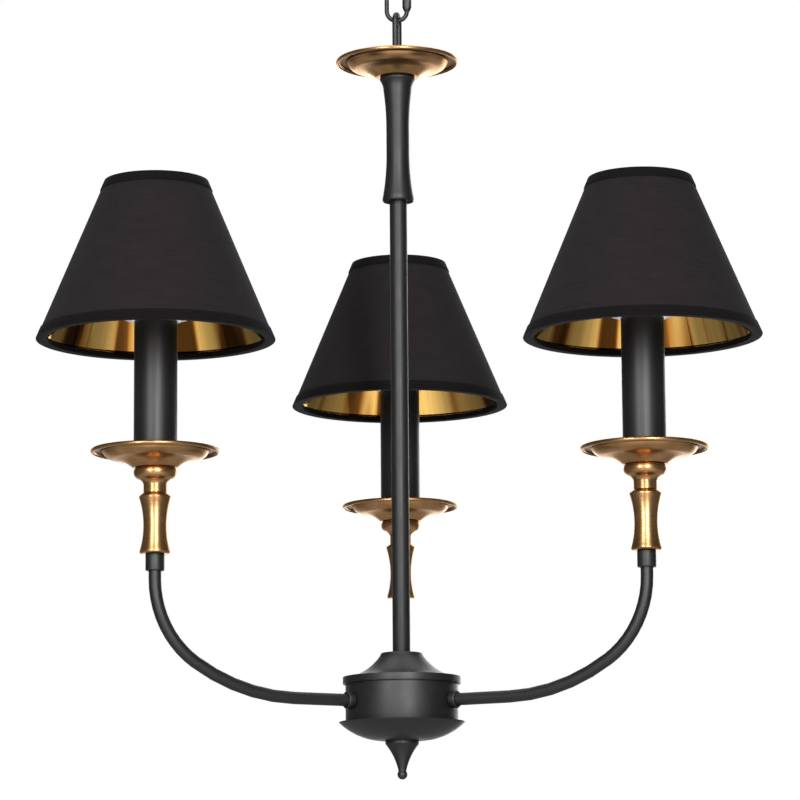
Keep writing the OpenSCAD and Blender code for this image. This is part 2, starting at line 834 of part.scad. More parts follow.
module knob(k) {
    neck_top = [knob_neck_r, z_knob + knob_neck_h];
    cove_end = [knob_r - cove_w, z_knob + knob_neck_h + cove_h];
    crown = [knob_r - crown_in, z_dish];
    color(brass)
        at_candle(k)
            rotate_extrude()
                polygon(concat(
                    [[arm_r + slip_gap, z_knob], [knob_neck_r, z_knob]],
                    bow(neck_top, cove_end, -cove_hollow, 6),
                    bow(cove_end, crown, knob_bulge, 12),
                    [[arm_r + slip_gap, z_dish]]));
}

module drip_dish(k) {
    color(brass)
        at_candle(k)
            dish(arm_r + slip_gap, z_dish);
}

module candle_sleeve(k) {
    color(black)
        at_candle(k)
            tube(sleeve_r, sleeve_r - sleeve_wall, z_sleeve, z_sleeve_top);
}

// Body inside the sleeve, flange on its top, outside thread, lamp bore and a contact well
module lampholder(k) {
    body_r = sleeve_r - sleeve_wall - slip_gap;
    color(white)
        at_candle(k)
            rotate_extrude()
                polygon([[0, z_holder_base], [body_r, z_holder_base], [body_r, z_sleeve_top],
                         [holder_flange_r, z_sleeve_top], [holder_flange_r, z_fitter],
                         [holder_thread_r, z_fitter], [holder_thread_r, z_holder_top],
                         [lamp_bore_r, z_holder_top], [lamp_bore_r, z_socket_floor],
                         [well_r, z_socket_floor], [well_r, z_socket_floor - well_h],
                         [0, z_socket_floor - well_h]]);
}

module lamp_contacts() {
    color(brass)
        for (k = lights)
            at_candle(k)
                translate([0, 0, z_socket_floor - well_h])
                    cylinder(r = well_r - slip_gap, h = well_h - slip_gap);
}

// Loose ring that clamps the shade's washer from above
module shade_ring(k) {
    hub_r = holder_thread_r + ring_flange_h;
    color(white)
        at_candle(k)
            rotate_extrude()
                polygon([[holder_thread_r + turn_gap, z_ring], [ring_r, z_ring],
                         [ring_r, z_ring + ring_flange_h - edge], [ring_r - edge, z_ring + ring_flange_h],
                         [hub_r, z_ring + ring_flange_h], [hub_r, z_ring + shade_ring_h],
                         [holder_thread_r + turn_gap, z_ring + shade_ring_h]]);
}

// A cone-shaped skin between two depths of the shade's wall
module shade_skin(deep, shallow, z_low, z_high) {
    rotate_extrude()
        polygon([[shade_r(z_low, deep), z_low], [shade_r(z_low, shallow), z_low],
                 [shade_r(z_high, shallow), z_high], [shade_r(z_high, deep), z_high]]);
}

module shade_fabric(k) {
    color(black)
        at_candle(k)
            shade_skin(fabric_in, fabric_out, z_shade + fold, z_shade_top - fold);
}

module shade_lining(k) {
    color(foil)
        at_candle(k)
            shade_skin(lining_in, lining_out, z_shade + fold, z_shade_top - fold);
}

// Tape folded round an edge at height z: up the outside by trim_h, and inside round the hoop.
// Upwards is 1 at the lower edge and -1 at the upper one.
module folded_tape(z, hoop_in_r, upwards) {
    z_out = z + upwards * trim_h;
    z_floor = z + upwards * trim_t;
    z_in = z + upwards * tuck;
    inside_r = hoop_in_r - glue_gap;
    rotate_extrude()
        polygon([[shade_r(z_out, 0), z_out], [shade_r(z, 0), z], [inside_r - trim_t, z],
                 [inside_r - trim_t, z_in], [inside_r, z_in], [inside_r, z_floor],
                 [shade_r(z_floor, trim_t), z_floor], [shade_r(z_out, trim_t), z_out]]);
}

module shade_trim(k) {
    color(black)
        at_candle(k) {
            folded_tape(z_shade, low_hoop_r - hoop_r, 1);
            folded_tape(z_shade_top, top_hoop_r - hoop_r, -1);
        }
}

// Wire hoops in both edges, and a fitting washer hung on three struts from the upper hoop
module shade_frame(k) {
    strut_r = strut_wire / 2;
    washer_point = [fitter_r - strut_r - hook_gap, 0, z_ring];
    hoop_point = [top_hoop_r, 0, z_top_hoop];
    way = (hoop_point - washer_point) / norm(hoop_point - washer_point);
    foot = washer_point + way * (strut_r * way[0] + seat_gap);
    head = hoop_point - way * (hoop_r + seat_gap);
    color(steel)
        at_candle(k) {
            tube(fitter_r, holder_thread_r + lift_gap, z_fitter, z_ring);
            for (i = [0:2])
                rotate([0, 0, 120 * i])
                    rod(foot, head, strut_r);
            hoop(top_hoop_r, z_top_hoop);
            hoop(low_hoop_r, z_low_hoop);
        }
}

module hoop(r, z) {
    translate([0, 0, z])
        rotate_extrude()
            translate([r, 0])
                circle(r = hoop_r);
}

chain_link();
quick_link();
quick_link_nut();
hanging_loop();
loop_washer();
top_saucer();
column();
stem_tube();
top_pipe();
hub_lid();
hub_drum();
hub_bowl();
finial();
hub_pipe();
hub_nuts();
arm_collars();
arm_nuts();
terminal_block();
feed_wire();
arm_wires();
ferrules();
candle_pipes();
candle_nuts();
holder_pillars();
lamp_contacts();
for (k = lights) {
    arm(k);
    vase(k);
    knob(k);
    drip_dish(k);
    candle_sleeve(k);
    lampholder(k);
    shade_fabric(k);
    shade_lining(k);
    shade_trim(k);
    shade_frame(k);
    shade_ring(k);
}
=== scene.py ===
"""Candle chandelier: the pieces and finishes that dress its packed construction."""

import math

import bpy
from bpy.props import FloatProperty, FloatVectorProperty, PointerProperty
from mathutils import Matrix, Vector


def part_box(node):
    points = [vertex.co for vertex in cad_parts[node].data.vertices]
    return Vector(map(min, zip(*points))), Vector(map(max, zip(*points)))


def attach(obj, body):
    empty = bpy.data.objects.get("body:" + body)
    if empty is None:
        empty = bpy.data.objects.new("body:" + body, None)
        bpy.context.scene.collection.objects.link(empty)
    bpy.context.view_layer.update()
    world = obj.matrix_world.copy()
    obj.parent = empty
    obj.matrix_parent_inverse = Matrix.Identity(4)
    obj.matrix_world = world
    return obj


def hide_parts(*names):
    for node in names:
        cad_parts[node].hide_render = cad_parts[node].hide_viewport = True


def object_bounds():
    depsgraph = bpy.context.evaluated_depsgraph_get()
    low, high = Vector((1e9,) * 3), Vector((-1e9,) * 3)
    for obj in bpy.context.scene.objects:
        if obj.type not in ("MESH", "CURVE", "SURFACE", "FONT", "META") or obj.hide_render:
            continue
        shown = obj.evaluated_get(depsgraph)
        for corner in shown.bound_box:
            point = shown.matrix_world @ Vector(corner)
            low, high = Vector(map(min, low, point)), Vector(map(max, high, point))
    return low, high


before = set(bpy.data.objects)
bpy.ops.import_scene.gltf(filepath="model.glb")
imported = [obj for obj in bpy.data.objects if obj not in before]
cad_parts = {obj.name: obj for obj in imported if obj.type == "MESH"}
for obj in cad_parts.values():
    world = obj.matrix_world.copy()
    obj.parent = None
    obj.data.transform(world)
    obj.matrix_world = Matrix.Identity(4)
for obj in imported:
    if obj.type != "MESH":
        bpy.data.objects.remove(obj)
CAD_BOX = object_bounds()

bl_info = {
    "name": "Candle chandelier",
    "version": (1, 0, 0),
    "blender": (4, 5, 0),
    "location": "View3D > Sidebar > Chandelier",
    "description": "Models a three-light candle chandelier with turned brass, black arms and lined shades",
    "category": "Object",
}

MM = 0.001
LIGHTS = (1, 2, 3)
THIRD = math.tau / 3
UP = Vector((0.0, 0.0, 1.0))
# Sides of round work, from thin wire to the shades
WIRE_ROUND, SMALL_ROUND, ROUND, WIDE_ROUND, SHADE_ROUND = 24, 64, 96, 128, 192
# Radial room round a wire or pipe, round a tube or plug, and between threads
CLOSE_FIT, EASY_FIT, THREAD_FIT = 0.1 * MM, 0.15 * MM, 0.25 * MM
MERGE = 0.002 * MM
BEND_STEP = math.radians(6)
SHARP = math.radians(32)
SENSOR_WIDTH = 36.0


def linear(code):
    """An sRGB hex colour as linear red, green and blue."""
    parts = [int(code[i : i + 2], 16) / 255 for i in (1, 3, 5)]
    return tuple(p / 12.92 if p <= 0.04045 else ((p + 0.055) / 1.055) ** 2.4 for p in parts)


def length(name, description, millimetres):
    """A size that a user can change."""
    return FloatProperty(
        name=name, description=description, default=millimetres * MM, unit="LENGTH", precision=5
    )


def angle(name, description, degrees):
    """An angle that a user can change."""
    return FloatProperty(
        name=name, description=description, default=math.radians(degrees), subtype="ANGLE"
    )


def amount(name, description, value):
    """A plain number that a user can change."""
    return FloatProperty(name=name, description=description, default=value)


def colour(name, description, code):
    """A colour that a user can change."""
    return FloatVectorProperty(
        name=name, description=description, default=linear(code), subtype="COLOR", min=0.0, max=1.0
    )


class HangingSizes(bpy.types.PropertyGroup):
    """Links, nut and loop at the top"""

    chain_wire: length("Chain wire", "Diameter of the chain link's wire", 3.0)
    link_wire: length("Oval link wire", "Diameter of the oval link's wire", 3.0)
    link_stub: length("Stub", "Straight wire under the oval link's mouth", 2.4)
    link_mouth: length("Mouth", "Open length that the sleeve nut bridges", 4.4)
    nut_nose: length("Nut nose", "Length of the sleeve nut's tapered end", 2.4)
    nut_nose_wall: length("Nut nose wall", "Wall left at the tapered end", 0.6)
    nut_chamfer: length("Nut chamfer", "Height of the chamfer at the sleeve nut's other end", 0.8)
    loop_wire: length("Loop wire", "Diameter of the hanging loop's wire", 4.0)
    loop_eye: length("Loop eye", "Clear width of the loop's eye", 7.0)
    loop_boss: length("Boss height", "Height of the loop's threaded boss", 8.0)
    loop_turn: angle("Loop turn", "Turn of the loop about the stem", -12)


class TurnedSizes(bpy.types.PropertyGroup):
    """Column, hub and brass"""

    dish_wall: length("Dish wall", "Wall of the saucer and the drip dishes", 0.9)
    dish_cone_r: length("Dish cone radius", "Radius where a dish's cone turns into its floor", 20.5)
    dish_cone_h: length("Dish cone height", "Height of a dish's cone", 4.2)
    dish_floor_r: length("Dish floor radius", "Radius where a dish's floor turns up into its wall", 27.5)
    dish_floor_h: length("Dish floor height", "Height of the floor there", 5.5)
    dish_wall_r: length("Dish wall radius", "Radius where a dish's wall turns out into its flange", 33.4)
    dish_wall_h: length("Dish wall height", "Height of the wall there", 9.7)
    dish_wall_bow: length("Dish wall bow", "How far the wall stands off its chord", 0.8)
    dish_roll_r: length("Dish roll radius", "Radius of the rolled rim", 1.3)
    seat_ledge: length("Seat ledge", "How far a dish's seat passes the candle sleeve", 0.45)
    column_bead: length("Column bead height", "Height of the bead at the column's top", 2.6)
    column_bead_r: length("Column bead radius", "Radius of the bead's edges", 11.1)
    column_neck: length("Column neck drop", "Depth of the neck below the column's top", 9.0)
    column_neck_r: length("Column neck radius", "Radius under the column's bead", 9.3)
    column_waist_high: length("Column waist, upper", "Depth where the straight waist begins", 34.0)
    column_waist_low: length("Column waist, lower", "Depth where the straight waist ends", 52.0)
    column_waist_r: length("Column waist radius", "Least radius of the column", 7.6)
    column_foot_r: length("Column foot radius", "Radius of the column's foot", 10.5)
    lid_neck_r: length("Lid neck radius", "Radius of the trumpet lid's top", 13.7)
    lid_rise: length("Lid rise", "Height of the trumpet above its lip", 15.7)
    trumpet_hollow: length("Trumpet hollow", "How far the trumpet curves in from its chord", 2.7)
    hub_wall: length("Hub wall", "Wall of the lid, the drum and the bowl", 1.2)
    bowl_flat_r: length("Bowl flat radius", "Radius of the bowl's flat floor", 11.9)
    finial_rim: length("Finial rim", "Height of the finial's straight rim", 2.2)
    finial_hollow: length("Finial hollow", "How far the finial's cone curves in from its chord", 1.2)
    finial_ball_r: length("Finial ball radius", "Radius of the ball at the tip", 3.25)
    vase_waist_r: length("Vase waist radius", "Least radius of a vase", 7.4)
    vase_foot_r: length("Vase foot radius", "Radius of a vase's foot", 9.9)
    vase_waist: length("Vase waist height", "Height of the waist above the foot", 17.8)
    knob_neck_r: length("Knob neck radius", "Radius of the neck under a knob", 7.4)
    knob_neck: length("Knob neck height", "Height of that neck", 5.5)


class ArmSizes(bpy.types.PropertyGroup):
    """Arms"""

    bend_r: length("Bend radius", "Radius of the bend under a candle", 60.0)
    bend_angle: angle("Bend angle", "Turn of that bend", 58)
    bend_drop: length("Bend drop", "Straight tube under a ferrule before the bend", 5.2)


class ShadeSizes(bpy.types.PropertyGroup):
    """Shades and lampholders"""

    head_r: length("Head radius", "Outer radius of a shade's upper rim", 33.2)
    trim_height: length("Trim height", "Height of the edge tape outside", 6.5)
    trim_wall: length("Trim wall", "Thickness of the edge tape", 0.5)
    trim_tuck: length("Trim tuck", "Height of the edge tape inside", 3.3)
    fabric_wall: length("Fabric wall", "Thickness of the fabric and its card", 0.9)
    foil_wall: length("Foil wall", "Thickness of the foil lining", 0.4)
    lap_width: length("Lap width", "Width where the ends of fabric and foil lap", 6.0)
    lap_rise: length("Lap rise", "How far a lap stands proud", 0.25)
    glue: length("Glue", "Gap between glued pieces", 0.1)
    hoop_wire: length("Hoop wire", "Diameter of the frame's hoops", 2.8)
    strut_wire: length("Strut wire", "Diameter of the frame's struts", 2.2)
    rivet_r: length("Rivet radius", "Radius of the rivets under the frame's washer", 1.5)
    fitter_r: length("Fitter radius", "Outer radius of the frame's washer", 21.7)
    fitter_wall: length("Fitter wall", "Thickness of that washer", 1.6)
    fitter_gap: length("Fitter gap", "Gap between that washer and the thread", 0.4)
    holder_flange_r: length("Holder flange", "Radius of the lampholder's flange", 16.0)
    thread_r: length("Thread radius", "Radius of the lampholder's outside thread", 13.7)
    thread_pitch: length("Thread pitch", "Pitch of that thread", 2.5)
    thread_depth: length("Thread depth", "Depth of that thread", 0.6)
    bore_r: length("Lamp bore", "Radius of the lampholder's bore", 7.0)
    bore_depth: length("Lamp bore depth", "Depth of that bore", 23.0)
    well_r: length("Contact well", "Radius of the well under the bore", 4.0)
    well_depth: length("Contact well depth", "Depth of that well", 4.0)
    ring_flange: length("Ring flange", "Height of the shade ring's flange", 2.0)
    ring_hub_r: length("Ring hub", "Radius of the shade ring above its flange", 15.7)
    ring_grip: length("Ring grip", "Radius of the grip ribs round the shade ring", 0.6)
    sleeve_wall: length("Sleeve wall", "Wall of a candle sleeve", 1.1)


class Finishes(bpy.types.PropertyGroup):
    """Colours"""

    black: colour("Powder coat", "Black of the metal frame", "#090809")
    sleeve: colour("Sleeve", "Black of the candle sleeves", "#090809")
    brass: colour("Brass", "Toned brass", "#b68c60")
    patina: colour("Brass patina", "Darker tone in the brass", "#7d5a33")
    # Painted shade: a dark brown painted under the dishes' rims, standing for the shade there
    painted_rim_shade: colour("Painted rim shade", "Unpolished brass under the dishes' rims", "#46362b")
    foil: colour("Gold foil", "Lining of the shades", "#ffc46d")
    fabric: colour("Fabric", "Outside of the shades", "#1a1718")
    trim: colour("Trim", "Edge tape of the shades", "#0b090a")
    steel: colour("Zinc", "Plated pipes and nuts", "#c2c6c9")
    wire: colour("Coated wire", "Wire frames of the shades", "#cfd4d7")
    plastic: colour("White plastic", "Lampholders and rings", "#e6e4de")
    contact: colour("Bare brass", "Contacts of the lampholders", "#c9a256")
    lead: colour("Lead cover", "Cover of the leads", "#8b8a86")
    floor: colour("Floor", "Paint of the studio's floor", "#ececea")


class StudioSettings(bpy.types.PropertyGroup):
    """Camera and light"""

    distance: length("Camera distance", "From the stem to the camera", 2344.0)
    height: length("Camera height", "Above the hanging point", -700.4)
    aside: length("Camera aside", "To the right of the stem", 0.2)
    pitch: angle("Pitch", "Upward tilt of the camera", 9.41)
    roll: angle("Roll", "Turn of the camera about its view", -0.42)
    lens: amount("Lens", "Focal length in millimetres", 162.86)
    floor_drop: length("Floor", "Height of the floor below the finial", 900.0)
    floor_glow: amount("Floor glow", "White that the camera sees on the floor", 0.7)
    room: amount("Room", "Strength of the room's even light", 0.18)
    front_wall: amount("Front wall", "Light that mirrors see in front", 0.12)
    side_wall: amount("Side walls", "Light that mirrors see beside", 0.2)
    back_wall: amount("Back wall", "Light that mirrors see behind", 1.0)
    ground: amount("Ground", "Light that mirrors see on the floor in front", 1.6)
    ground_below: amount("Ground below", "Light that they see right below", 0.5)
    strip: amount("Strip lights", "Power of a tall light", 120.0)
    top_panel: amount("Top panel", "Power of the panel above", 30.0)


SIZE_GROUPS = {
    "chandelier_hanging": HangingSizes,
    "chandelier_turned": TurnedSizes,
    "chandelier_arms": ArmSizes,
    "chandelier_shades": ShadeSizes,
    "chandelier_finishes": Finishes,
    "chandelier_studio": StudioSettings,
}


def floor_of(node):
    """Lowest height of a packed node."""
    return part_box(node)[0].z


def top_of(node):
    """Highest point of a packed node."""
    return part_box(node)[1].z


def radius_of(node):
    """Outer radius of a packed node that is round about an upright axis, or of the first arm's tube."""
    low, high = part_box(node)
    return (high.x - low.x) / 2


def axis_of(node):
    """Where the upright axis of a round packed node stands."""
    low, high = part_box(node)
    return ((low + high) / 2).xy


def extent_of(node):
    """Lowest point, highest point and outer radius of a round packed node."""
    return floor_of(node), top_of(node), radius_of(node)


def bow(start, end, sag, steps):
    """Points of an arc that stands off its chord by sag, to the right of the way it goes."""
    start, end = Vector(start), Vector(end)
    half = (end - start).length / 2
    along = (end - start).normalized()
    right = Vector((along.y, -along.x))
    arc_r = (half**2 + sag**2) / (2 * sag)
    centre = (start + end) / 2 - right * (arc_r - sag)
    spread = math.asin(half / arc_r)
    turns = [spread * (2 * i / steps - 1) for i in range(steps + 1)]
    return [centre + right * (arc_r * math.cos(a)) + along * (arc_r * math.sin(a)) for a in turns]


def flare(waist, end, steps=10):
    """Points of an arc that is upright at the waist and spreads to its end."""
    spread, rise = end[0] - waist[0], end[1] - waist[1]
    arc_r = (spread**2 + rise**2) / (2 * spread)
    heights = [rise * i / steps for i in range(steps + 1)]
    return [Vector((waist[0] + arc_r - math.sqrt(arc_r**2 - h**2), waist[1] + h)) for h in heights]


def pick(*pieces):
    """Select these pieces alone, with the first one active."""
    bpy.ops.object.select_all(action="DESELECT")
    for piece in pieces:
        piece.select_set(True)
    if pieces:
        bpy.context.view_layer.objects.active = pieces[0]


def named(name):
    """Give the piece that was just added its name."""
    piece = bpy.context.object
    piece.name = piece.data.name = name
    return piece


def settled(name, scale=(1.0, 1.0, 1.0)):
    """Name the piece that was just added, and put its place, turn and scale into its mesh."""
    piece = named(name)
    piece.scale = scale
    bpy.ops.object.transform_apply()
    return piece


def edit_all(piece):
    """Go into edit mode with the whole piece selected."""
    pick(piece)
    bpy.ops.object.mode_set(mode="EDIT")
    bpy.ops.mesh.select_all(action="SELECT")


def close_mesh(piece):
    """Merge what meets, turn every face outwards and leave edit mode, with the place in the mesh."""
    bpy.ops.mesh.select_all(action="SELECT")
    bpy.ops.mesh.remove_doubles(threshold=MERGE)
    bpy.ops.mesh.normals_make_consistent(inside=False)
    bpy.ops.object.mode_set(mode="OBJECT")
    bpy.ops.object.transform_apply()
    return piece


def turn(name, outline, centre=(0.0, 0.0), sides=ROUND):
    """Draw half an outline point by point and spin it round an upright axis, as on a lathe."""
    pick()
    bpy.ops.mesh.primitive_plane_add(size=MM)
    piece = named(name)
    edit_all(piece)
    bpy.ops.mesh.merge(type="CENTER")
    points = [Vector((centre[0] + r, centre[1], z)) for r, z in outline]
    bpy.ops.transform.translate(value=points[0])
    for here, there in zip(points, points[1:]):
        bpy.ops.mesh.extrude_region_move(TRANSFORM_OT_translate={"value": there - here})
    bpy.ops.mesh.select_all(action="SELECT")
    bpy.ops.mesh.spin(steps=sides, angle=math.tau, center=(*centre, 0.0), axis=UP)
    return close_mesh(piece)


def tube(name, inner, outer, low, high, edge, segments=3, centre=(0.0, 0.0), sides=ROUND):
    """Turn a plain tube or ring and round its edges."""
    outline = [(inner, low), (outer, low), (outer, high), (inner, high), (inner, low)]
    return soften(turn(name, outline, centre, sides), edge, segments)


def draw_wire(name, wire_r, start, way, closed=False, sides=WIRE_ROUND):
    """Draw a round wire from its end face: a vector is a straight run, a triple bends about an axis."""
    heading = next(step for step in way if isinstance(step, Vector)).normalized()
    pick()
    bpy.ops.mesh.primitive_circle_add(
        vertices=sides, radius=wire_r, fill_type="NOTHING" if closed else "NGON",
        location=start, rotation=heading.to_track_quat("Z", "Y").to_euler(),
    )
    piece = named(name)
    edit_all(piece)
    for step in way:
        if isinstance(step, Vector):
            bpy.ops.mesh.extrude_region_move(TRANSFORM_OT_translate={"value": step})
        else:
            centre, axis, bend = step
            steps = max(4, round(abs(bend) / BEND_STEP))
            bpy.ops.mesh.spin(steps=steps, angle=-bend, center=centre, axis=axis)
    return close_mesh(piece)


def apply_modifiers(piece):
    """Apply the piece's modifiers, in order."""
    pick(piece)
    for modifier in list(piece.modifiers):
        bpy.ops.object.modifier_apply(modifier=modifier.name)


def soften(piece, edge, segments=2):
    """Round the sharp edges by the edge's width, and shade the rest smooth."""
    bevel = piece.modifiers.new("rounded edges", "BEVEL")
    bevel.width = edge
    bevel.segments = segments
    bevel.limit_method = "ANGLE"
    bevel.angle_limit = SHARP
    bevel.harden_normals = False
    apply_modifiers(piece)
    bpy.ops.object.shade_smooth_by_angle(angle=SHARP)
    return piece


def unroll(piece, centre, climb=0.61, mean=0.7):
    """Lay a turned surface out flat in metres: round the axis at a mean share of its radius, and up.

    Climb is the share of the way outwards that counts as way up.
    """
    mesh = piece.data
    layer = mesh.uv_layers.new(name="unrolled")
    mean_r = max((v.co.xy - Vector(centre)).length for v in mesh.vertices) * mean
    for face in mesh.polygons:
        middle = face.center.xy - Vector(centre)
        for corner in face.loop_indices:
            place = mesh.vertices[mesh.loops[corner].vertex_index].co
            out = place.xy - Vector(centre)
            turned = math.atan2(middle.y, middle.x)
            if out.length > MERGE and middle.length > MERGE:
                turned -= middle.angle_signed(out)
            layer.data[corner].uv = (turned * mean_r, place.z + climb * out.length)
    return piece


def join(pieces, name):
    """Join pieces into one object that holds them as separate solids."""
    pick(*pieces)
    bpy.ops.object.join()
    return named(name)


def round_the_lights(piece, stem):
    """Copy what was modelled at the first light to the other two, a third of a turn apart."""
    piece.name = piece.data.name = f"{stem}_1"
    made = [piece]
    for k in LIGHTS[1:]:
        pick(piece)
        bpy.ops.object.duplicate()
        copy = named(f"{stem}_{k}")
        copy.rotation_euler.z = THIRD * (k - 1)
        bpy.ops.object.transform_apply()
        made.append(copy)
    return made


def dress(piece, body, slot, *nodes):
    """Give a piece its finish, its body and the packed nodes that it stands for."""
    piece.data.materials.clear()
    piece.data.materials.append(finish_of(slot))
    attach(piece, body)
    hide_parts(*nodes)


def dress_lights(piece, stem, body, slot, node):
    """Copy a piece round the lights and dress each copy, on the frame or on its light's own body."""
    for k, copy in zip(LIGHTS, round_the_lights(piece, stem)):
        dress(copy, body if body == "frame" else f"{body}_{k}", slot, f"{node}_{k}")


def fill(tree, node, inputs):
    """Set a node's inputs. A socket is linked, and so is a node, by its first live output."""
    for key, value in inputs.items():
        if isinstance(value, bpy.types.Node):
            value = next(socket for socket in value.outputs if socket.enabled)
        if isinstance(value, bpy.types.NodeSocket):
            tree.links.new(value, node.inputs[key])
        else:
            node.inputs[key].default_value = value


def add(tree, kind, inputs=None, **settings):
    """Add one shader node of that kind, with its options and inputs.

    By number, a Map Range takes 1 to 2 into 3 to 4, and a colour Mix goes from 6 to 7.
    """
    node = tree.nodes.new(f"ShaderNode{kind}")
    for key, value in settings.items():
        setattr(node, key, value)
    fill(tree, node, inputs or {})
    return node


def per(millimetres):
    """A texture scale with one repeat in that many millimetres."""
    return 1.0 / (millimetres * MM)


def tone(rgb, factor=1.0):
    """A colour made lighter or darker, with its alpha."""
    return (*(min(1.0, c * factor) for c in rgb), 1.0)


def powder_coat(tree, shader, colours):
    """Polyester powder baked on steel: satin black, a fine orange peel and soft grey highlights."""
    paint = colours.black
    place = add(tree, "TexCoord").outputs["Object"]
    # Real orange peel is about half a millimetre: it is drawn coarser, so that it shows
    peel = add(tree, "TexNoise", {"Vector": place, "Scale": per(1.1), "Detail": 2.0})
    cloud = add(tree, "TexNoise", {"Vector": place, "Scale": per(16), "Detail": 3.0})
    shade = add(tree, "Mix", {0: cloud, 6: tone(paint, 0.82), 7: tone(paint, 1.2)}, data_type="RGBA")
    point = add(tree, "NewGeometry").outputs["Pointiness"]
    worn = add(tree, "MapRange", {0: point, 1: 0.54, 2: 0.64, 3: 0.0, 4: 0.4})
    edge = add(tree, "Mix", {0: worn, 6: shade, 7: tone(paint, 3.2)}, data_type="RGBA")
    gloss = add(tree, "MapRange", {0: cloud, 1: 0.3, 2: 0.7, 3: 0.46, 4: 0.54})
    bump = add(tree, "Bump", {"Height": peel, "Strength": 0.12, "Distance": 0.1 * MM})
    fill(tree, shader, {"Base Color": edge, "Roughness": gloss, "Normal": bump})


def sleeve_enamel(tree, shader, colours):
    """Black enamel on thin steel tube: smoother than the powder coat, with faint drawing lines."""
    paint = colours.sleeve
    place = add(tree, "TexCoord").outputs["Object"]
    drawn = add(tree, "Mapping", {"Vector": place, "Scale": (per(2.0), per(2.0), per(60))})
    lines = add(tree, "TexNoise", {"Vector": drawn, "Scale": 1.0, "Detail": 3.0})
    dust = add(tree, "TexNoise", {"Vector": place, "Scale": per(7), "Detail": 4.0})
    shade = add(tree, "Mix", {0: dust, 6: tone(paint, 0.85), 7: tone(paint, 1.2)}, data_type="RGBA")
    gloss = add(tree, "MapRange", {0: lines, 1: 0.3, 2: 0.7, 3: 0.42, 4: 0.5})
    bump = add(tree, "Bump", {"Height": lines, "Strength": 0.08, "Distance": 0.1 * MM})
    fill(tree, shader, {"Base Color": shade, "Roughness": gloss, "Normal": bump})


def toned_brass(tree, shader, colours):
    """Brass brushed round and toned brown under lacquer: ring lines, clouds, patina and painted shade in
    the hollows, painted shade under the rims, and a pinkish painted reflection at a glancing view.
    """
    place = add(tree, "TexCoord").outputs["Object"]
    flat = add(tree, "UVMap", uv_map="unrolled")
    # Real brush lines are about a tenth of a millimetre: they are drawn coarser, so that they show
    round_it = add(tree, "Mapping", {"Vector": flat, "Scale": (per(45), per(0.55), 1.0)})
    rings = add(tree, "TexNoise", {"Vector": round_it, "Scale": 1.0, "Detail": 4.0})
    cloud = add(tree, "TexNoise", {"Vector": place, "Scale": per(11), "Detail": 5.0})
    aged = add(tree, "MapRange", {0: cloud, 1: 0.35, 2: 0.75, 3: 0.0, 4: 0.55})
    tones = {6: tone(colours.brass), 7: tone(colours.patina)}
    shade = add(tree, "Mix", {0: aged, **tones}, data_type="RGBA")
    streak = add(tree, "MapRange", {0: rings, 1: 0.3, 2: 0.7, 3: 0.88, 4: 1.1})
    brushed = add(
        tree, "Mix", {0: 1.0, 6: shade, 7: streak}, data_type="RGBA", blend_type="MULTIPLY"
    )
    # Patina with painted shade: concave hollows are darkened towards a deep patina tone, as ambient
    # occlusion would shade them
    point = add(tree, "NewGeometry").outputs["Pointiness"]
    hollow = add(tree, "MapRange", {0: point, 1: 0.38, 2: 0.48, 3: 0.75, 4: 0.0})
    dark = tone(colours.patina, 0.35)
    toned = add(tree, "Mix", {0: hollow, 6: brushed, 7: dark}, data_type="RGBA")
    # Painted shade: the marked faces under the dishes' rims take a dark brown instead of the brass
    under_rim_shade = add(tree, "Attribute", attribute_name="painted_rim_shade").outputs["Fac"]
    rim = tone(colours.painted_rim_shade)
    rim_shaded = add(tree, "Mix", {0: under_rim_shade, 6: toned, 7: rim}, data_type="RGBA")
    # Painted reflection and shade: at a glancing view the reflection is tinted pinkish, as the warm room
    # would tint it, and under the rims it is painted a darker brown
    painted_glance_tints = {6: (1.0, 0.88, 0.76, 1.0), 7: (0.5, 0.44, 0.4, 1.0)}
    painted_glance_tint = add(tree, "Mix", {0: under_rim_shade, **painted_glance_tints}, data_type="RGBA")
    gloss = add(tree, "MapRange", {0: rings, 1: 0.3, 2: 0.7, 3: 0.29, 4: 0.35})
    bump = add(tree, "Bump", {"Height": rings, "Strength": 0.03, "Distance": 0.08 * MM})
    fill(tree, shader, {"Metallic": 1.0, "Base Color": rim_shaded, "Specular Tint": painted_glance_tint})
    fill(tree, shader, {"Roughness": gloss, "Normal": bump})


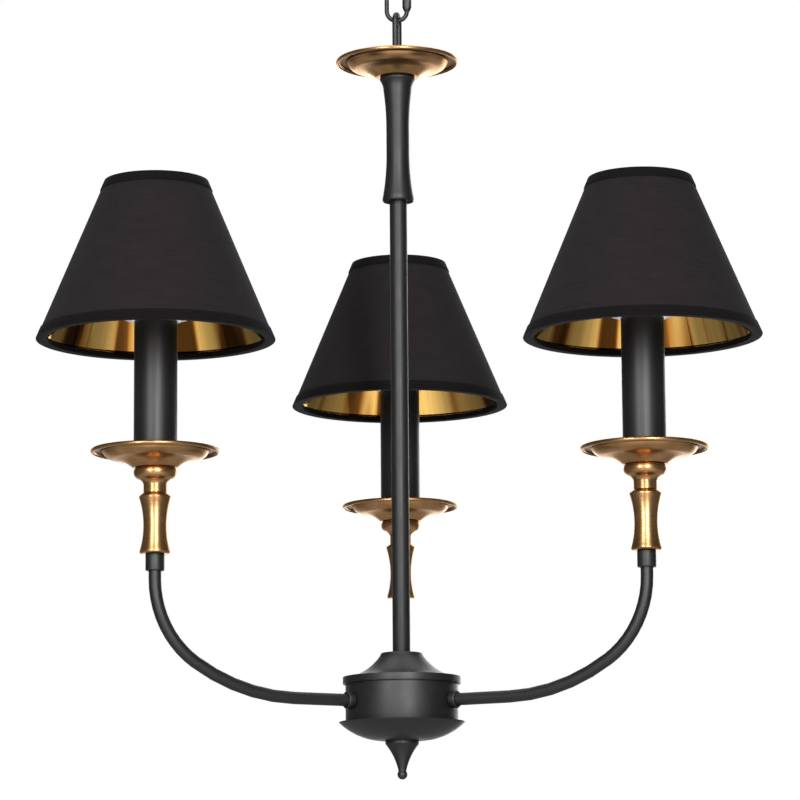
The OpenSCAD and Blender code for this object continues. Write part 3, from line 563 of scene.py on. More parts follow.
def gold_foil(tree, shader, colours):
    """Metallised film on card: a warm mirror, with dark and bright stripes of painted reflection along its
    shallow upright folds.
    """
    flat = add(tree, "UVMap", uv_map="unrolled")
    upright = add(tree, "Mapping", {"Vector": flat, "Scale": (per(3.0), per(90), 1.0)})
    strokes = add(tree, "TexNoise", {"Vector": upright, "Scale": 1.0, "Detail": 3.0})
    laid = add(tree, "Mapping", {"Vector": flat, "Scale": (per(26), per(150), 1.0)})
    waves = add(tree, "TexNoise", {"Vector": laid, "Scale": 1.0, "Detail": 1.0})
    grain = add(tree, "TexNoise", {"Vector": flat, "Scale": per(1.6), "Detail": 3.0})
    folds = add(tree, "Mapping", {"Vector": flat, "Scale": (per(23), per(340), 1.0)})
    reflection_band_noise = add(
        tree, "TexNoise",
        {"Vector": folds, "Scale": 1.0, "Detail": 2.0, "Roughness": 0.5, "Distortion": 0.3},
    )
    steps = add(tree, "ValToRGB", {0: reflection_band_noise})
    reflection_stops = steps.color_ramp.elements
    # Painted reflection: the room's dark and bright stripes are painted into the film's colour, from a
    # fold's dark to its bright side; all but the brightest stop are browner than the film
    for place, level in ((0.43, 0.08), (0.47, 0.22), (0.485, 0.62), (0.54, 1.0)):
        brown = 1.0 if level == 1.0 else 0.64
        reflection_stops.new(place).color = (level, level * brown, level * brown**2, 1.0)
    reflection_stops.remove(reflection_stops[-1])
    reflection_stops.remove(reflection_stops[0])
    tones = {6: tone(colours.foil, 0.66), 7: tone(colours.foil, 1.2)}
    streaks = add(tree, "Mix", {0: strokes, **tones}, data_type="RGBA")
    shade = add(
        tree, "Mix", {0: 1.0, 6: streaks, 7: steps}, data_type="RGBA", blend_type="MULTIPLY"
    )
    gloss = add(tree, "MapRange", {0: grain, 1: 0.3, 2: 0.7, 3: 0.07, 4: 0.13})
    fine = add(tree, "Math", {0: strokes, 1: grain}, operation="ADD")
    wavy = add(tree, "Bump", {"Height": waves, "Strength": 0.6, "Distance": 1.6 * MM})
    bump = add(
        tree, "Bump", {"Height": fine, "Strength": 0.12, "Distance": 0.12 * MM, "Normal": wavy}
    )
    fill(tree, shader, {"Metallic": 1.0, "Base Color": shade, "Roughness": gloss, "Normal": bump})


def woven(tree, shader, base, thread, sheen, rough):
    """A plain weave: threads over and under each other, with slubs and a soft sheen at the edge."""
    flat = add(tree, "UVMap", uv_map="unrolled")
    across = add(tree, "SeparateXYZ", {0: flat})
    waves = []
    for side in ("X", "Y"):
        way = {0: across.outputs[side], 1: math.pi * per(thread)}
        count = add(tree, "Math", way, operation="MULTIPLY")
        waves.append(add(tree, "Math", {0: count}, operation="SINE"))
    weave = add(tree, "Math", {0: waves[0], 1: waves[1]}, operation="MULTIPLY")
    slub_way = add(tree, "Mapping", {"Vector": flat, "Scale": (per(24), per(1.5), 1.0)})
    slub = add(tree, "TexNoise", {"Vector": slub_way, "Scale": 1.0, "Detail": 3.0})
    cloud = add(tree, "TexNoise", {"Vector": flat, "Scale": per(9), "Detail": 4.0})
    lift = add(tree, "MapRange", {0: weave, 1: -1.0, 2: 1.0, 3: 0.8, 4: 1.15})
    yarn = add(tree, "MapRange", {0: slub, 1: 0.3, 2: 0.7, 3: 0.88, 4: 1.12})
    mottle = add(tree, "Mix", {0: cloud, 6: tone(base, 0.82), 7: tone(base, 1.18)}, data_type="RGBA")
    threads = add(tree, "Math", {0: lift, 1: yarn}, operation="MULTIPLY")
    shade = add(
        tree, "Mix", {0: 1.0, 6: mottle, 7: threads}, data_type="RGBA", blend_type="MULTIPLY"
    )
    bump = add(tree, "Bump", {"Height": threads, "Strength": 0.25, "Distance": 0.12 * MM})
    fill(tree, shader, {"Roughness": rough, "Specular IOR Level": 0.06})
    fill(tree, shader, {"Sheen Weight": sheen, "Sheen Roughness": 0.5})
    fill(tree, shader, {"Base Color": shade, "Normal": bump})


def shade_fabric(tree, shader, colours):
    """Cotton on card. Real threads are about 0.4 mm: they are drawn at twice that, so that they show."""
    woven(tree, shader, colours.fabric, thread=0.8, sheen=0.015, rough=0.9)


def edge_tape(tree, shader, colours):
    """Bias tape, folded over the edges and glued: a closer and darker weave than the shade's."""
    woven(tree, shader, colours.trim, thread=0.5, sheen=0.01, rough=0.85)


def plain(tree, shader, rgb, rough, metal, grain_mm, mottle=0.12):
    """A moulded, plated or drawn surface: fine grain, clouds of tone and uneven gloss."""
    place = add(tree, "TexCoord").outputs["Object"]
    grain = add(tree, "TexNoise", {"Vector": place, "Scale": per(grain_mm), "Detail": 3.0})
    cloud = add(tree, "TexNoise", {"Vector": place, "Scale": per(6), "Detail": 4.0})
    tones = {6: tone(rgb, 1.0 - mottle), 7: tone(rgb, 1.0 + mottle)}
    shade = add(tree, "Mix", {0: cloud, **tones}, data_type="RGBA")
    gloss = add(tree, "MapRange", {0: grain, 1: 0.3, 2: 0.7, 3: rough - 0.05, 4: rough + 0.07})
    bump = add(tree, "Bump", {"Height": grain, "Strength": 0.1, "Distance": 0.1 * MM})
    fill(tree, shader, {"Metallic": metal, "Base Color": shade, "Roughness": gloss, "Normal": bump})


def zinc_plate(tree, shader, colours):
    """Zinc-plated steel: pale blue-grey, slightly mottled and half bright."""
    plain(tree, shader, colours.steel, rough=0.42, metal=0.35, grain_mm=0.8)


def white_wire(tree, shader, colours):
    """Steel wire and washer in a thin white coat: cool pale grey with a low gloss."""
    plain(tree, shader, colours.wire, rough=0.45, metal=0.0, grain_mm=0.8, mottle=0.05)


def white_plastic(tree, shader, colours):
    """Moulded white thermoset: an even, slightly warm white with a low gloss."""
    plain(tree, shader, colours.plastic, rough=0.38, metal=0.0, grain_mm=0.9, mottle=0.04)


def bare_brass(tree, shader, colours):
    """Drawn brass, unlacquered: brighter and yellower than the toned pieces."""
    plain(tree, shader, colours.contact, rough=0.3, metal=1.0, grain_mm=0.7)


def wire_cover(tree, shader, colours):
    """Soft grey PVC round the leads."""
    plain(tree, shader, colours.lead, rough=0.5, metal=0.0, grain_mm=1.2, mottle=0.06)


def floor_paint(tree, shader, colours):
    """Matt paint on a floor: a nearly even, pale grey."""
    plain(tree, shader, colours.floor, rough=0.6, metal=0.0, grain_mm=3.0, mottle=0.02)


# Each slot's material and the function that paints it
FINISH_OF = {
    "black_satin": ("satin black powder coat", powder_coat),
    "black_sleeve": ("black enamelled tube", sleeve_enamel),
    "antique_brass": ("toned brushed brass", toned_brass),
    "gold_foil": ("gold metallised film", gold_foil),
    "black_fabric": ("black cotton on card", shade_fabric),
    "black_trim": ("black bias tape", edge_tape),
    "zinc_steel": ("zinc-plated steel", zinc_plate),
    "white_wire": ("white-coated steel", white_wire),
    "white_plastic": ("white moulded plastic", white_plastic),
    "bare_brass": ("drawn brass", bare_brass),
    "wire_cover": ("grey PVC", wire_cover),
    "studio_floor": ("pale painted floor", floor_paint),
}


def finish_of(slot):
    """The slot's material, painted when it is first asked for."""
    name, paint = FINISH_OF[slot]
    if finish := bpy.data.materials.get(name):
        return finish
    finish = bpy.data.materials.new(name)
    finish.use_nodes = True
    tree = finish.node_tree
    paint(tree, tree.nodes["Principled BSDF"], bpy.context.scene.chandelier_finishes)
    return finish


class CHANDELIER_OT_hanging(bpy.types.Operator):
    """Bend the chain link, the oval link and the hanging loop, and cut the sleeve nut"""

    bl_idname = "chandelier.hanging"
    bl_label = "Hanging hardware"

    def execute(self, context):
        sizes = context.scene.chandelier_hanging
        self.chain_link(sizes)
        self.oval_link(sizes)
        self.sleeve_nut(sizes)
        self.loop(sizes)
        return {"FINISHED"}

    def chain_link(self, sizes):
        low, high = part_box("chain_link")
        wire_r = sizes.chain_wire / 2
        bend = high.y - wire_r
        leg = high.z - low.z - 2 * (bend + wire_r)
        above, below = high.z - high.y, low.z + high.y
        across = (1.0, 0.0, 0.0)
        way = [UP * leg, (UP * above, across, math.pi), UP * -leg, (UP * below, across, math.pi)]
        link = draw_wire("bent_chain_link", wire_r, (0.0, bend, below), way, closed=True)
        bpy.ops.object.shade_smooth()
        dress(link, "chain", "black_satin", "chain_link")

    def oval_link(self, sizes):
        low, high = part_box("quick_link")
        wire_r, stub = sizes.link_wire / 2, sizes.link_stub
        bend = high.x - wire_r
        above, below = high.z - high.x, low.z + high.x
        leg = above - below
        across = (0.0, 1.0, 0.0)
        way = [
            UP * -stub, (UP * below, across, math.pi), UP * leg, (UP * above, across, math.pi),
            UP * (stub + sizes.link_mouth - leg),
        ]
        link = draw_wire("bent_oval_link", wire_r, (bend, 0.0, below + stub), way)
        soften(link, 0.3 * MM)
        dress(link, "oval_link", "black_satin", "quick_link")

    def sleeve_nut(self, sizes):
        low, high, corner_r = extent_of("quick_link_nut")
        centre = axis_of("quick_link_nut")
        flat_r = corner_r * math.cos(math.pi / 6)
        bore_r = sizes.link_wire / 2 + CLOSE_FIT
        nose_r = sizes.link_wire / 2 + sizes.nut_nose_wall
        outline = [
            (bore_r, low), (nose_r, low), (corner_r, low + sizes.nut_nose),
            (corner_r, high - sizes.nut_chamfer), (flat_r, high), (bore_r, high), (bore_r, low),
        ]
        nut = turn("cut_sleeve_nut", outline, centre)
        pick()
        bpy.ops.mesh.primitive_cylinder_add(
            vertices=6, radius=corner_r, depth=(high - low) * 1.2,
            location=(*centre, (low + high) / 2), rotation=(0.0, 0.0, math.pi / 6),
        )
        hexagon = bpy.context.object
        meet = nut.modifiers.new("flats", "BOOLEAN")
        meet.operation = "INTERSECT"
        meet.object = hexagon
        apply_modifiers(nut)
        bpy.data.objects.remove(hexagon)
        soften(nut, 0.15 * MM)
        dress(nut, "link_nut", "black_satin", "quick_link_nut")

    def loop(self, sizes):
        low, high, boss_r = extent_of("hanging_loop")
        wire_r = sizes.loop_wire / 2
        boss_top = low + sizes.loop_boss
        turned = Matrix.Rotation(math.pi / 2 + sizes.loop_turn, 3, "Z")
        eye_bend = sizes.loop_eye / 2 + wire_r
        bow_z = high - wire_r - eye_bend
        rise = UP * (bow_z - boss_top + wire_r)
        start = turned @ Vector((eye_bend, 0.0, boss_top - wire_r))
        across = turned @ Vector((0.0, -1.0, 0.0))
        eye = draw_wire("loop_eye", wire_r, start, [rise, (UP * bow_z, across, math.pi), -rise])
        bore_r = radius_of("top_pipe") + CLOSE_FIT
        boss = tube("loop_boss", bore_r, boss_r, low, boss_top, 0.9 * MM)
        loop = join([eye, boss], "bent_hanging_loop")
        bpy.ops.object.shade_smooth_by_angle(angle=SHARP)
        dress(loop, "frame", "black_satin", "hanging_loop")


class CHANDELIER_OT_stem(bpy.types.Operator):
    """Turn the saucer, the column and the stem tube"""

    bl_idname = "chandelier.stem"
    bl_label = "Saucer, column and stem"

    def execute(self, context):
        sizes = context.scene.chandelier_turned
        saucer = press_dish("pressed_saucer", "top_saucer", radius_of("top_pipe") + EASY_FIT, sizes)
        dress(saucer, "frame", "antique_brass", "top_saucer")
        self.column(sizes)
        low, high, stem_r = extent_of("stem_tube")
        pipe_r = radius_of("hub_pipe") + CLOSE_FIT
        stem = tube("drawn_stem_tube", pipe_r, stem_r, low, high, 0.2 * MM, 2)
        dress(stem, "frame", "black_satin", "stem_tube")
        return {"FINISHED"}

    def column(self, sizes):
        top, foot = top_of("column"), floor_of("column")
        bore_r = radius_of("stem_tube") + EASY_FIT
        foot_r, bead_r, waist_r = sizes.column_foot_r, sizes.column_bead_r, sizes.column_waist_r
        bead_bulge, neck_hollow = 0.6 * MM, 0.4 * MM
        groove = (bead_r - 0.2 * MM, top - sizes.column_bead - 0.4 * MM)
        neck = (sizes.column_neck_r, top - sizes.column_neck)
        waist_high, waist_low = (
            (waist_r, top - depth) for depth in (sizes.column_waist_high, sizes.column_waist_low)
        )
        foot_edge, foot_in = (foot_r, foot + 1.4 * MM), (foot_r - 0.5 * MM, foot)
        outline = [
            (bore_r, top), *bow((bead_r, top), (bead_r, top - sizes.column_bead), -bead_bulge, 8),
            *bow(groove, neck, neck_hollow, 8), *reversed(flare(waist_high, neck)[:-1]),
            *flare(waist_low, foot_edge), foot_in, (bore_r, foot), (bore_r, top),
        ]
        column = soften(turn("turned_column", outline), 0.25 * MM)
        dress(column, "frame", "black_satin", "column")


def press_dish(name, node, hole_r, sizes):
    """Press a dish: seat, cone, nearly flat floor, round wall and a flange that ends in a rolled rim."""
    low, high, rim_r = extent_of(node)
    wall, roll_r = sizes.dish_wall, sizes.dish_roll_r
    roll = Vector((rim_r - roll_r, high - roll_r))
    seat = (radius_of("candle_sleeve_1") + sizes.seat_ledge, low)
    cone_end = (sizes.dish_cone_r, low + sizes.dish_cone_h)
    floor_end = (sizes.dish_floor_r, low + sizes.dish_floor_h)
    wall_end = (sizes.dish_wall_r, low + sizes.dish_wall_h)
    flange_lift, flange_turn = 0.1 * MM, 2.2 * MM
    flange_start = (sizes.dish_wall_r + flange_turn, roll.y + flange_lift)
    cone_bow, floor_bow, flange_bow = 0.3 * MM, 0.2 * MM, 0.3 * MM
    below = [Vector((hole_r, low)), *bow(seat, cone_end, -cone_bow, 6)]
    below += bow(cone_end, floor_end, -floor_bow, 4)[1:]
    below += bow(floor_end, wall_end, sizes.dish_wall_bow, 12)[1:]
    below += bow(wall_end, flange_start, -flange_bow, 6)[1:]
    first = math.pi - math.asin(flange_lift / roll_r)
    last = 3 * math.pi - math.asin((flange_lift + wall) / roll_r)
    steps = 24
    turns = [first + (last - first) * i / steps for i in range(steps + 1)]
    edge = [roll + roll_r * Vector((math.cos(a), math.sin(a))) for a in turns]
    above = [p + Vector((0.0, wall)) for p in reversed(below)]
    centre = axis_of(node)
    dish = turn(name, [*below, *edge, *above, below[0]], centre, WIDE_ROUND)
    soften(dish, 0.25 * MM, 3)
    # Painted shade: faces under the flange, between the wall and the rolled rim, are marked to be painted
    # dark brown for the shade and dark reflections there
    facing_down = -0.8
    painted_rim_shade = dish.data.attributes.new("painted_rim_shade", "FLOAT", "FACE")
    for face in dish.data.polygons:
        under_rim_shade = wall_end[0] < (face.center.xy - centre).length < roll.x
        painted_rim_shade.data[face.index].value = float(under_rim_shade and face.normal.z < facing_down)
    return unroll(dish, centre)


class CHANDELIER_OT_hub(bpy.types.Operator):
    """Spin the lid, the drum and the bowl, turn the finial and seat the collars"""

    bl_idname = "chandelier.hub"
    bl_label = "Hub"

    def execute(self, context):
        sizes = context.scene.chandelier_turned
        pipe_r = radius_of("hub_pipe") + EASY_FIT
        self.lid(sizes, pipe_r)
        low, high, outer = extent_of("hub_drum")
        drum = tube("rolled_drum", outer - sizes.hub_wall, outer, low, high, 0.3 * MM, 2, sides=WIDE_ROUND)
        dress(drum, "frame", "black_satin", "hub_drum")
        self.bowl(sizes, pipe_r)
        self.finial(sizes)
        self.collars()
        return {"FINISHED"}

    def lid(self, sizes, pipe_r):
        skirt, top, lip_r = extent_of("hub_lid")
        lip_top = top - sizes.lid_rise
        neck_r, wall, drum_r = sizes.lid_neck_r, sizes.hub_wall, radius_of("hub_drum")
        crown_round, crown_bow = 1.4 * MM, 0.4 * MM
        shoulder = (neck_r, top - crown_round)
        flare_end = (lip_r - 2.6 * MM, lip_top - 0.2 * MM)
        trumpet = bow(shoulder, flare_end, sizes.trumpet_hollow, 16)
        crown = bow((neck_r - crown_round, top), shoulder, -crown_bow, 6)
        inset = Vector((0.5 * MM, wall + 0.2 * MM))
        inner = [p - inset for p in reversed(trumpet)]
        skirt_r = drum_r + EASY_FIT
        outline = [
            (pipe_r, top), *crown, *trumpet[1:], (lip_r, lip_top), (lip_r, skirt), (skirt_r, skirt),
            (skirt_r, lip_top - wall), (drum_r - wall, lip_top - wall), *inner,
            (neck_r - 1.8 * MM, top - wall), (pipe_r, top - wall), (pipe_r, top),
        ]
        lid = soften(turn("spun_lid", outline, sides=WIDE_ROUND), 0.6 * MM, 3)
        dress(lid, "frame", "black_satin", "hub_lid")

    def bowl(self, sizes, pipe_r):
        low, rim, rim_r = extent_of("hub_bowl")
        flat_r, wall = sizes.bowl_flat_r, sizes.hub_wall
        arc_r = ((rim_r - flat_r) ** 2 + (rim - low) ** 2) / (2 * (rim - low))
        centre, steps = low + arc_r, 16
        arcs = []
        for r in (arc_r, arc_r - wall):
            last = math.acos((centre - rim) / r)
            turns = [last * i / steps for i in range(steps + 1)]
            arcs.append([(flat_r + r * math.sin(a), centre - r * math.cos(a)) for a in turns])
        outline = [(pipe_r, low), *arcs[0], *reversed(arcs[1]), (pipe_r, low + wall), (pipe_r, low)]
        bowl = soften(turn("spun_bowl", outline, sides=WIDE_ROUND), 0.4 * MM, 3)
        dress(bowl, "frame", "black_satin", "hub_bowl")

    def finial(self, sizes):
        tip, top, rim_r = extent_of("finial")
        ball_r = sizes.finial_ball_r
        ball_z, neck_r = tip + ball_r, ball_r - 0.75 * MM
        neck_z = ball_z + math.sqrt(ball_r**2 - neck_r**2)
        last, steps = math.pi / 2 + math.acos(neck_r / ball_r), 12
        turns = [last * i / steps - math.pi / 2 for i in range(1, steps)]
        ball = [(ball_r * math.cos(a), ball_z + ball_r * math.sin(a)) for a in turns]
        cone = bow((neck_r, neck_z), (rim_r, top - sizes.finial_rim), -sizes.finial_hollow, 14)
        outline = [(0.0, tip), *ball, *cone, (rim_r, top), (0.0, top)]
        finial = soften(turn("turned_finial", outline, sides=SMALL_ROUND), 0.25 * MM, 3)
        dress(finial, "frame", "black_satin", "finial")

    def collars(self):
        tube_r = radius_of("arm_1")
        arm_z = floor_of("arm_1") + tube_r
        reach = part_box("arm_collars")[1]
        face = radius_of("hub_drum")
        collar = tube(
            "collar", tube_r + EASY_FIT, reach.z - arm_z, 0.0, reach.y - face, 0.8 * MM, sides=SMALL_ROUND
        )
        collar.rotation_euler.x = -math.pi / 2
        collar.location = (0.0, face, arm_z)
        bpy.ops.object.transform_apply()
        collars = join(round_the_lights(collar, "collar"), "turned_collars")
        dress(collars, "frame", "black_satin", "arm_collars")


class CHANDELIER_OT_arms(bpy.types.Operator):
    """Bend the three arms from tube, in a long sweep and a tighter bend"""

    bl_idname = "chandelier.arms"
    bl_label = "Arms"

    def execute(self, context):
        sizes = context.scene.chandelier_arms
        low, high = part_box("arm_1")
        tube_r = radius_of("arm_1")
        arm_z = low.z + tube_r
        bend_r, steep = sizes.bend_r, sizes.bend_angle
        bend_z = floor_of("ferrules") - sizes.bend_drop
        bend_y = high.y - tube_r - bend_r
        sweep_r = (bend_z - arm_z - bend_r * math.sin(steep)) / (1.0 - math.sin(steep))
        sweep_y = bend_y + (bend_r - sweep_r) * math.cos(steep)
        across = (1.0, 0.0, 0.0)
        way = [
            Vector((0.0, sweep_y - low.y, 0.0)),
            ((0.0, sweep_y, arm_z + sweep_r), across, math.pi / 2 - steep),
            ((0.0, bend_y, bend_z), across, steep),
            UP * (high.z - bend_z),
        ]
        arm = draw_wire("bent_arm", tube_r, (0.0, low.y, arm_z), way, sides=32)
        bpy.ops.object.shade_smooth_by_angle(angle=SHARP)
        dress_lights(arm, "bent_arm", "frame", "black_satin", "arm")
        return {"FINISHED"}


class CHANDELIER_OT_candles(bpy.types.Operator):
    """Turn the ferrules, vases and knobs, press the drip dishes and draw the sleeves"""

    bl_idname = "chandelier.candles"
    bl_label = "Candles"

    def execute(self, context):
        sizes = context.scene.chandelier_turned
        bore_r = radius_of("arm_1") + EASY_FIT
        centre = axis_of("vase_1")
        self.ferrules(centre, bore_r)
        self.vases(sizes, centre, bore_r)
        self.knobs(sizes, centre, bore_r)
        dish = press_dish("pressed_dish", "drip_dish_1", bore_r, sizes)
        dress_lights(dish, "pressed_dish", "frame", "antique_brass", "drip_dish")
        low, high, outer = extent_of("candle_sleeve_1")
        inner = outer - context.scene.chandelier_shades.sleeve_wall
        sleeve = tube("sleeve", inner, outer, low, high, 0.4 * MM, centre=centre)
        dress_lights(sleeve, "drawn_sleeve", "frame", "black_sleeve", "candle_sleeve")
        return {"FINISHED"}

    def ferrules(self, centre, bore_r):
        low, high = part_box("ferrules")
        ferrule = tube(
            "ferrule", bore_r, high.y - centre.y, low.z, high.z, 0.5 * MM, centre=centre, sides=SMALL_ROUND
        )
        ferrules = join(round_the_lights(ferrule, "ferrule"), "turned_ferrules")
        dress(ferrules, "frame", "black_satin", "ferrules")

    def vases(self, sizes, centre, bore_r):
        low, high, shoulder_r = extent_of("vase_1")
        waist = (sizes.vase_waist_r, low + sizes.vase_waist)
        foot_r, foot_edge, slant = sizes.vase_foot_r, 1.0 * MM, 2.2 * MM
        outline = [
            (bore_r, low), (foot_r - foot_edge, low), *reversed(flare(waist, (foot_r, low + foot_edge))),
            *flare(waist, (shoulder_r, high - slant))[1:],
            (sizes.knob_neck_r + 0.5 * MM, high), (bore_r, high), (bore_r, low),
        ]
        vase = unroll(soften(turn("vase", outline, centre), 0.45 * MM, 3), centre)
        dress_lights(vase, "turned_vase", "frame", "antique_brass", "vase")

    def knobs(self, sizes, centre, bore_r):
        low, high, knob_r = extent_of("knob_1")
        neck_r, neck_z = sizes.knob_neck_r, low + sizes.knob_neck
        cove_end = (knob_r - 2.6 * MM, neck_z + 3.7 * MM)
        crown = (knob_r - 1.1 * MM, high)
        cove_bow, side_bow = 0.7 * MM, 2.0 * MM
        outline = [
            (bore_r, low), (neck_r, low), *bow((neck_r, neck_z), cove_end, -cove_bow, 8),
            *bow(cove_end, crown, side_bow, 14)[1:], (bore_r, high), (bore_r, low),
        ]
        knob = unroll(soften(turn("knob", outline, centre), 0.4 * MM, 3), centre)
        dress_lights(knob, "turned_knob", "frame", "antique_brass", "knob")


class CHANDELIER_OT_shades(bpy.types.Operator):
    """Roll the fabric and its foil lining, fold the edge tapes and bend the wire frames"""

    bl_idname = "chandelier.shades"
    bl_label = "Shades"

    def execute(self, context):
        sizes = context.scene.chandelier_shades
        centre = axis_of("shade_fabric_1")
        # The laps of fabric and foil stand at these angles, on the far side of each shade
        fabric_laps, foil_laps = (80.0, 62.0, 105.0), (90.0, 93.0, 88.0)
        self.skin("fabric", sizes, sizes.fabric_wall, fabric_laps, 1, "black_fabric")
        self.skin("lining", sizes, sizes.foil_wall, foil_laps, -1, "gold_foil")
        self.tapes(sizes, centre)
        self.frames(sizes, centre)
        return {"FINISHED"}

    def skin(self, name, sizes, wall, laps, side, slot):
        """A cone one wall thick from the packed node's foot, and the lap where its ends meet."""
        node = f"shade_{name}"
        low, high, foot_r = extent_of(f"{node}_1")
        slope, steps = shade_slope(sizes), 24
        heights = [low + (high - low) * i / steps for i in range(steps + 1)]
        outer = [Vector((foot_r - slope * (z - low), z)) for z in heights]
        inner = [p - Vector((wall, 0.0)) for p in outer]
        centre = axis_of(f"{node}_1")
        cone = turn(name, [*outer, *reversed(inner), outer[0]], centre, SHADE_ROUND)
        unroll(soften(cone, 0.1 * MM), centre, climb=0.0)
        for k, piece, lap in zip(LIGHTS, round_the_lights(cone, f"rolled_{name}"), laps):
            face = outer if side > 0 else inner
            strip = self.lap(sizes, axis_of(f"{node}_{k}"), face, math.radians(lap), side)
            whole = join([piece, strip], f"rolled_{name}_{k}")
            dress(whole, f"shade_{k}", slot, f"{node}_{k}")

    def flat_cut(self, foot_r, head_r, rise):
        """Width, length and area of the flat fan that rolls up into a cone."""
        run = math.hypot(rise, foot_r - head_r)
        far, near = (r * run / (foot_r - head_r) for r in (foot_r, head_r))
        half = math.pi * (foot_r - head_r) / run
        return (2 * far * math.sin(half), far - near * math.cos(half)), half * (far**2 - near**2)

    def lap(self, sizes, centre, face, azimuth, side):
        """A narrow strip along the cone, proud by the lap's rise."""
        foot, head = face[1], face[-2]
        middle, run = (foot + head) / 2, head - foot
        out = middle.x + side * (sizes.lap_rise / 2 - sizes.glue)
        place = (centre.x + out * math.cos(azimuth), centre.y + out * math.sin(azimuth), middle.y)
        pick()
        bpy.ops.mesh.primitive_cube_add(
            size=1.0, location=place, rotation=(0.0, math.atan2(run.x, run.y), azimuth)
        )
        strip = settled("lap", (sizes.lap_rise, sizes.lap_width, run.length))
        return unroll(soften(strip, 0.05 * MM), centre, climb=0.0)

    def tapes(self, sizes, centre):
        """Tape folded round both edges: over the fabric outside, and round the hoop inside."""
        low, high, foot_r = extent_of("shade_trim_1")
        slope, wall = shade_slope(sizes), sizes.trim_wall
        low_hoop, high_hoop = hoop_radii(sizes)
        tapes = []
        for edge, rim_r, hoop_r, up in ((low, foot_r, low_hoop, 1), (high, sizes.head_r, high_hoop, -1)):
            inner_r = hoop_r - sizes.hoop_wire / 2 - sizes.glue - wall
            outer_end = rim_r - up * slope * sizes.trim_height
            z_out, z_in, z_wall = (edge + up * rise for rise in (sizes.trim_height, sizes.trim_tuck, wall))
            outline = [
                (outer_end, z_out), (rim_r, edge), (inner_r, edge), (inner_r, z_in), (inner_r + wall, z_in),
                (inner_r + wall, z_wall), (rim_r - wall - up * slope * wall, z_wall),
                (outer_end - wall, z_out), (outer_end, z_out),
            ]
            tape = soften(turn("tape", outline, centre, SHADE_ROUND), 0.22 * MM, 3)
            tapes.append(unroll(tape, centre, climb=0.0))
        dress_lights(join(tapes, "tape"), "folded_tape", "shade", "black_trim", "shade_trim")

    def frames(self, sizes, centre):
        """The washer, three struts with riveted feet and two hoops of each shade's wire frame."""
        low, high = floor_of("shade_frame_1"), top_of("shade_frame_1")
        wire_r, strut_r = sizes.hoop_wire / 2, sizes.strut_wire / 2
        hoops = hoop_radii(sizes)
        pieces = []
        for hoop_r, z in zip(hoops, (low + wire_r, high - wire_r)):
            pick()
            bpy.ops.mesh.primitive_torus_add(
                major_radius=hoop_r, minor_radius=wire_r, major_segments=WIDE_ROUND, minor_segments=16,
                location=(*centre, z),
            )
            pieces.append(settled("hoop"))
        top = floor_of("shade_ring_1")
        bottom = top - sizes.fitter_wall
        hole_r = sizes.thread_r + sizes.fitter_gap
        pieces.append(tube("washer", hole_r, sizes.fitter_r, bottom, top, 0.35 * MM, centre=centre))
        foot_r = sizes.fitter_r - strut_r - 0.3 * MM
        rivet_at = foot_r - 1.6 * MM
        run = Vector((hoops[1] - foot_r, 0.0, high - wire_r - top))
        run -= run.normalized() * wire_r
        for i in range(3):
            turned = Matrix.Rotation(math.pi / 2 + THIRD * i, 3, "Z")
            foot = turned @ Vector((foot_r, 0.0, top)) + centre.to_3d()
            pieces.append(draw_wire("strut", strut_r, foot, [turned @ run], sides=16))
            pick()
            bpy.ops.mesh.primitive_uv_sphere_add(
                segments=20, ring_count=10, radius=sizes.rivet_r,
                location=turned @ Vector((rivet_at, 0.0, bottom)) + centre.to_3d(),
            )
            pieces.append(settled("rivet", (1.0, 1.0, 0.5)))
        wire_frame = join(pieces, "wire_frame")
        bpy.ops.object.shade_smooth_by_angle(angle=SHARP)
        dress_lights(wire_frame, "bent_frame", "shade", "white_wire", "shade_frame")


def shade_slope(sizes):
    """How much a shade narrows for each step up."""
    return (radius_of("shade_trim_1") - sizes.head_r) / (top_of("shade_trim_1") - floor_of("shade_trim_1"))


def hoop_radii(sizes):
    """Radii of the lower and the upper hoop, at their wires' middles."""
    low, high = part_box("shade_frame_1")
    foot_r = (high.x - low.x - sizes.hoop_wire) / 2
    return foot_r, foot_r - shade_slope(sizes) * (high.z - low.z - sizes.hoop_wire)


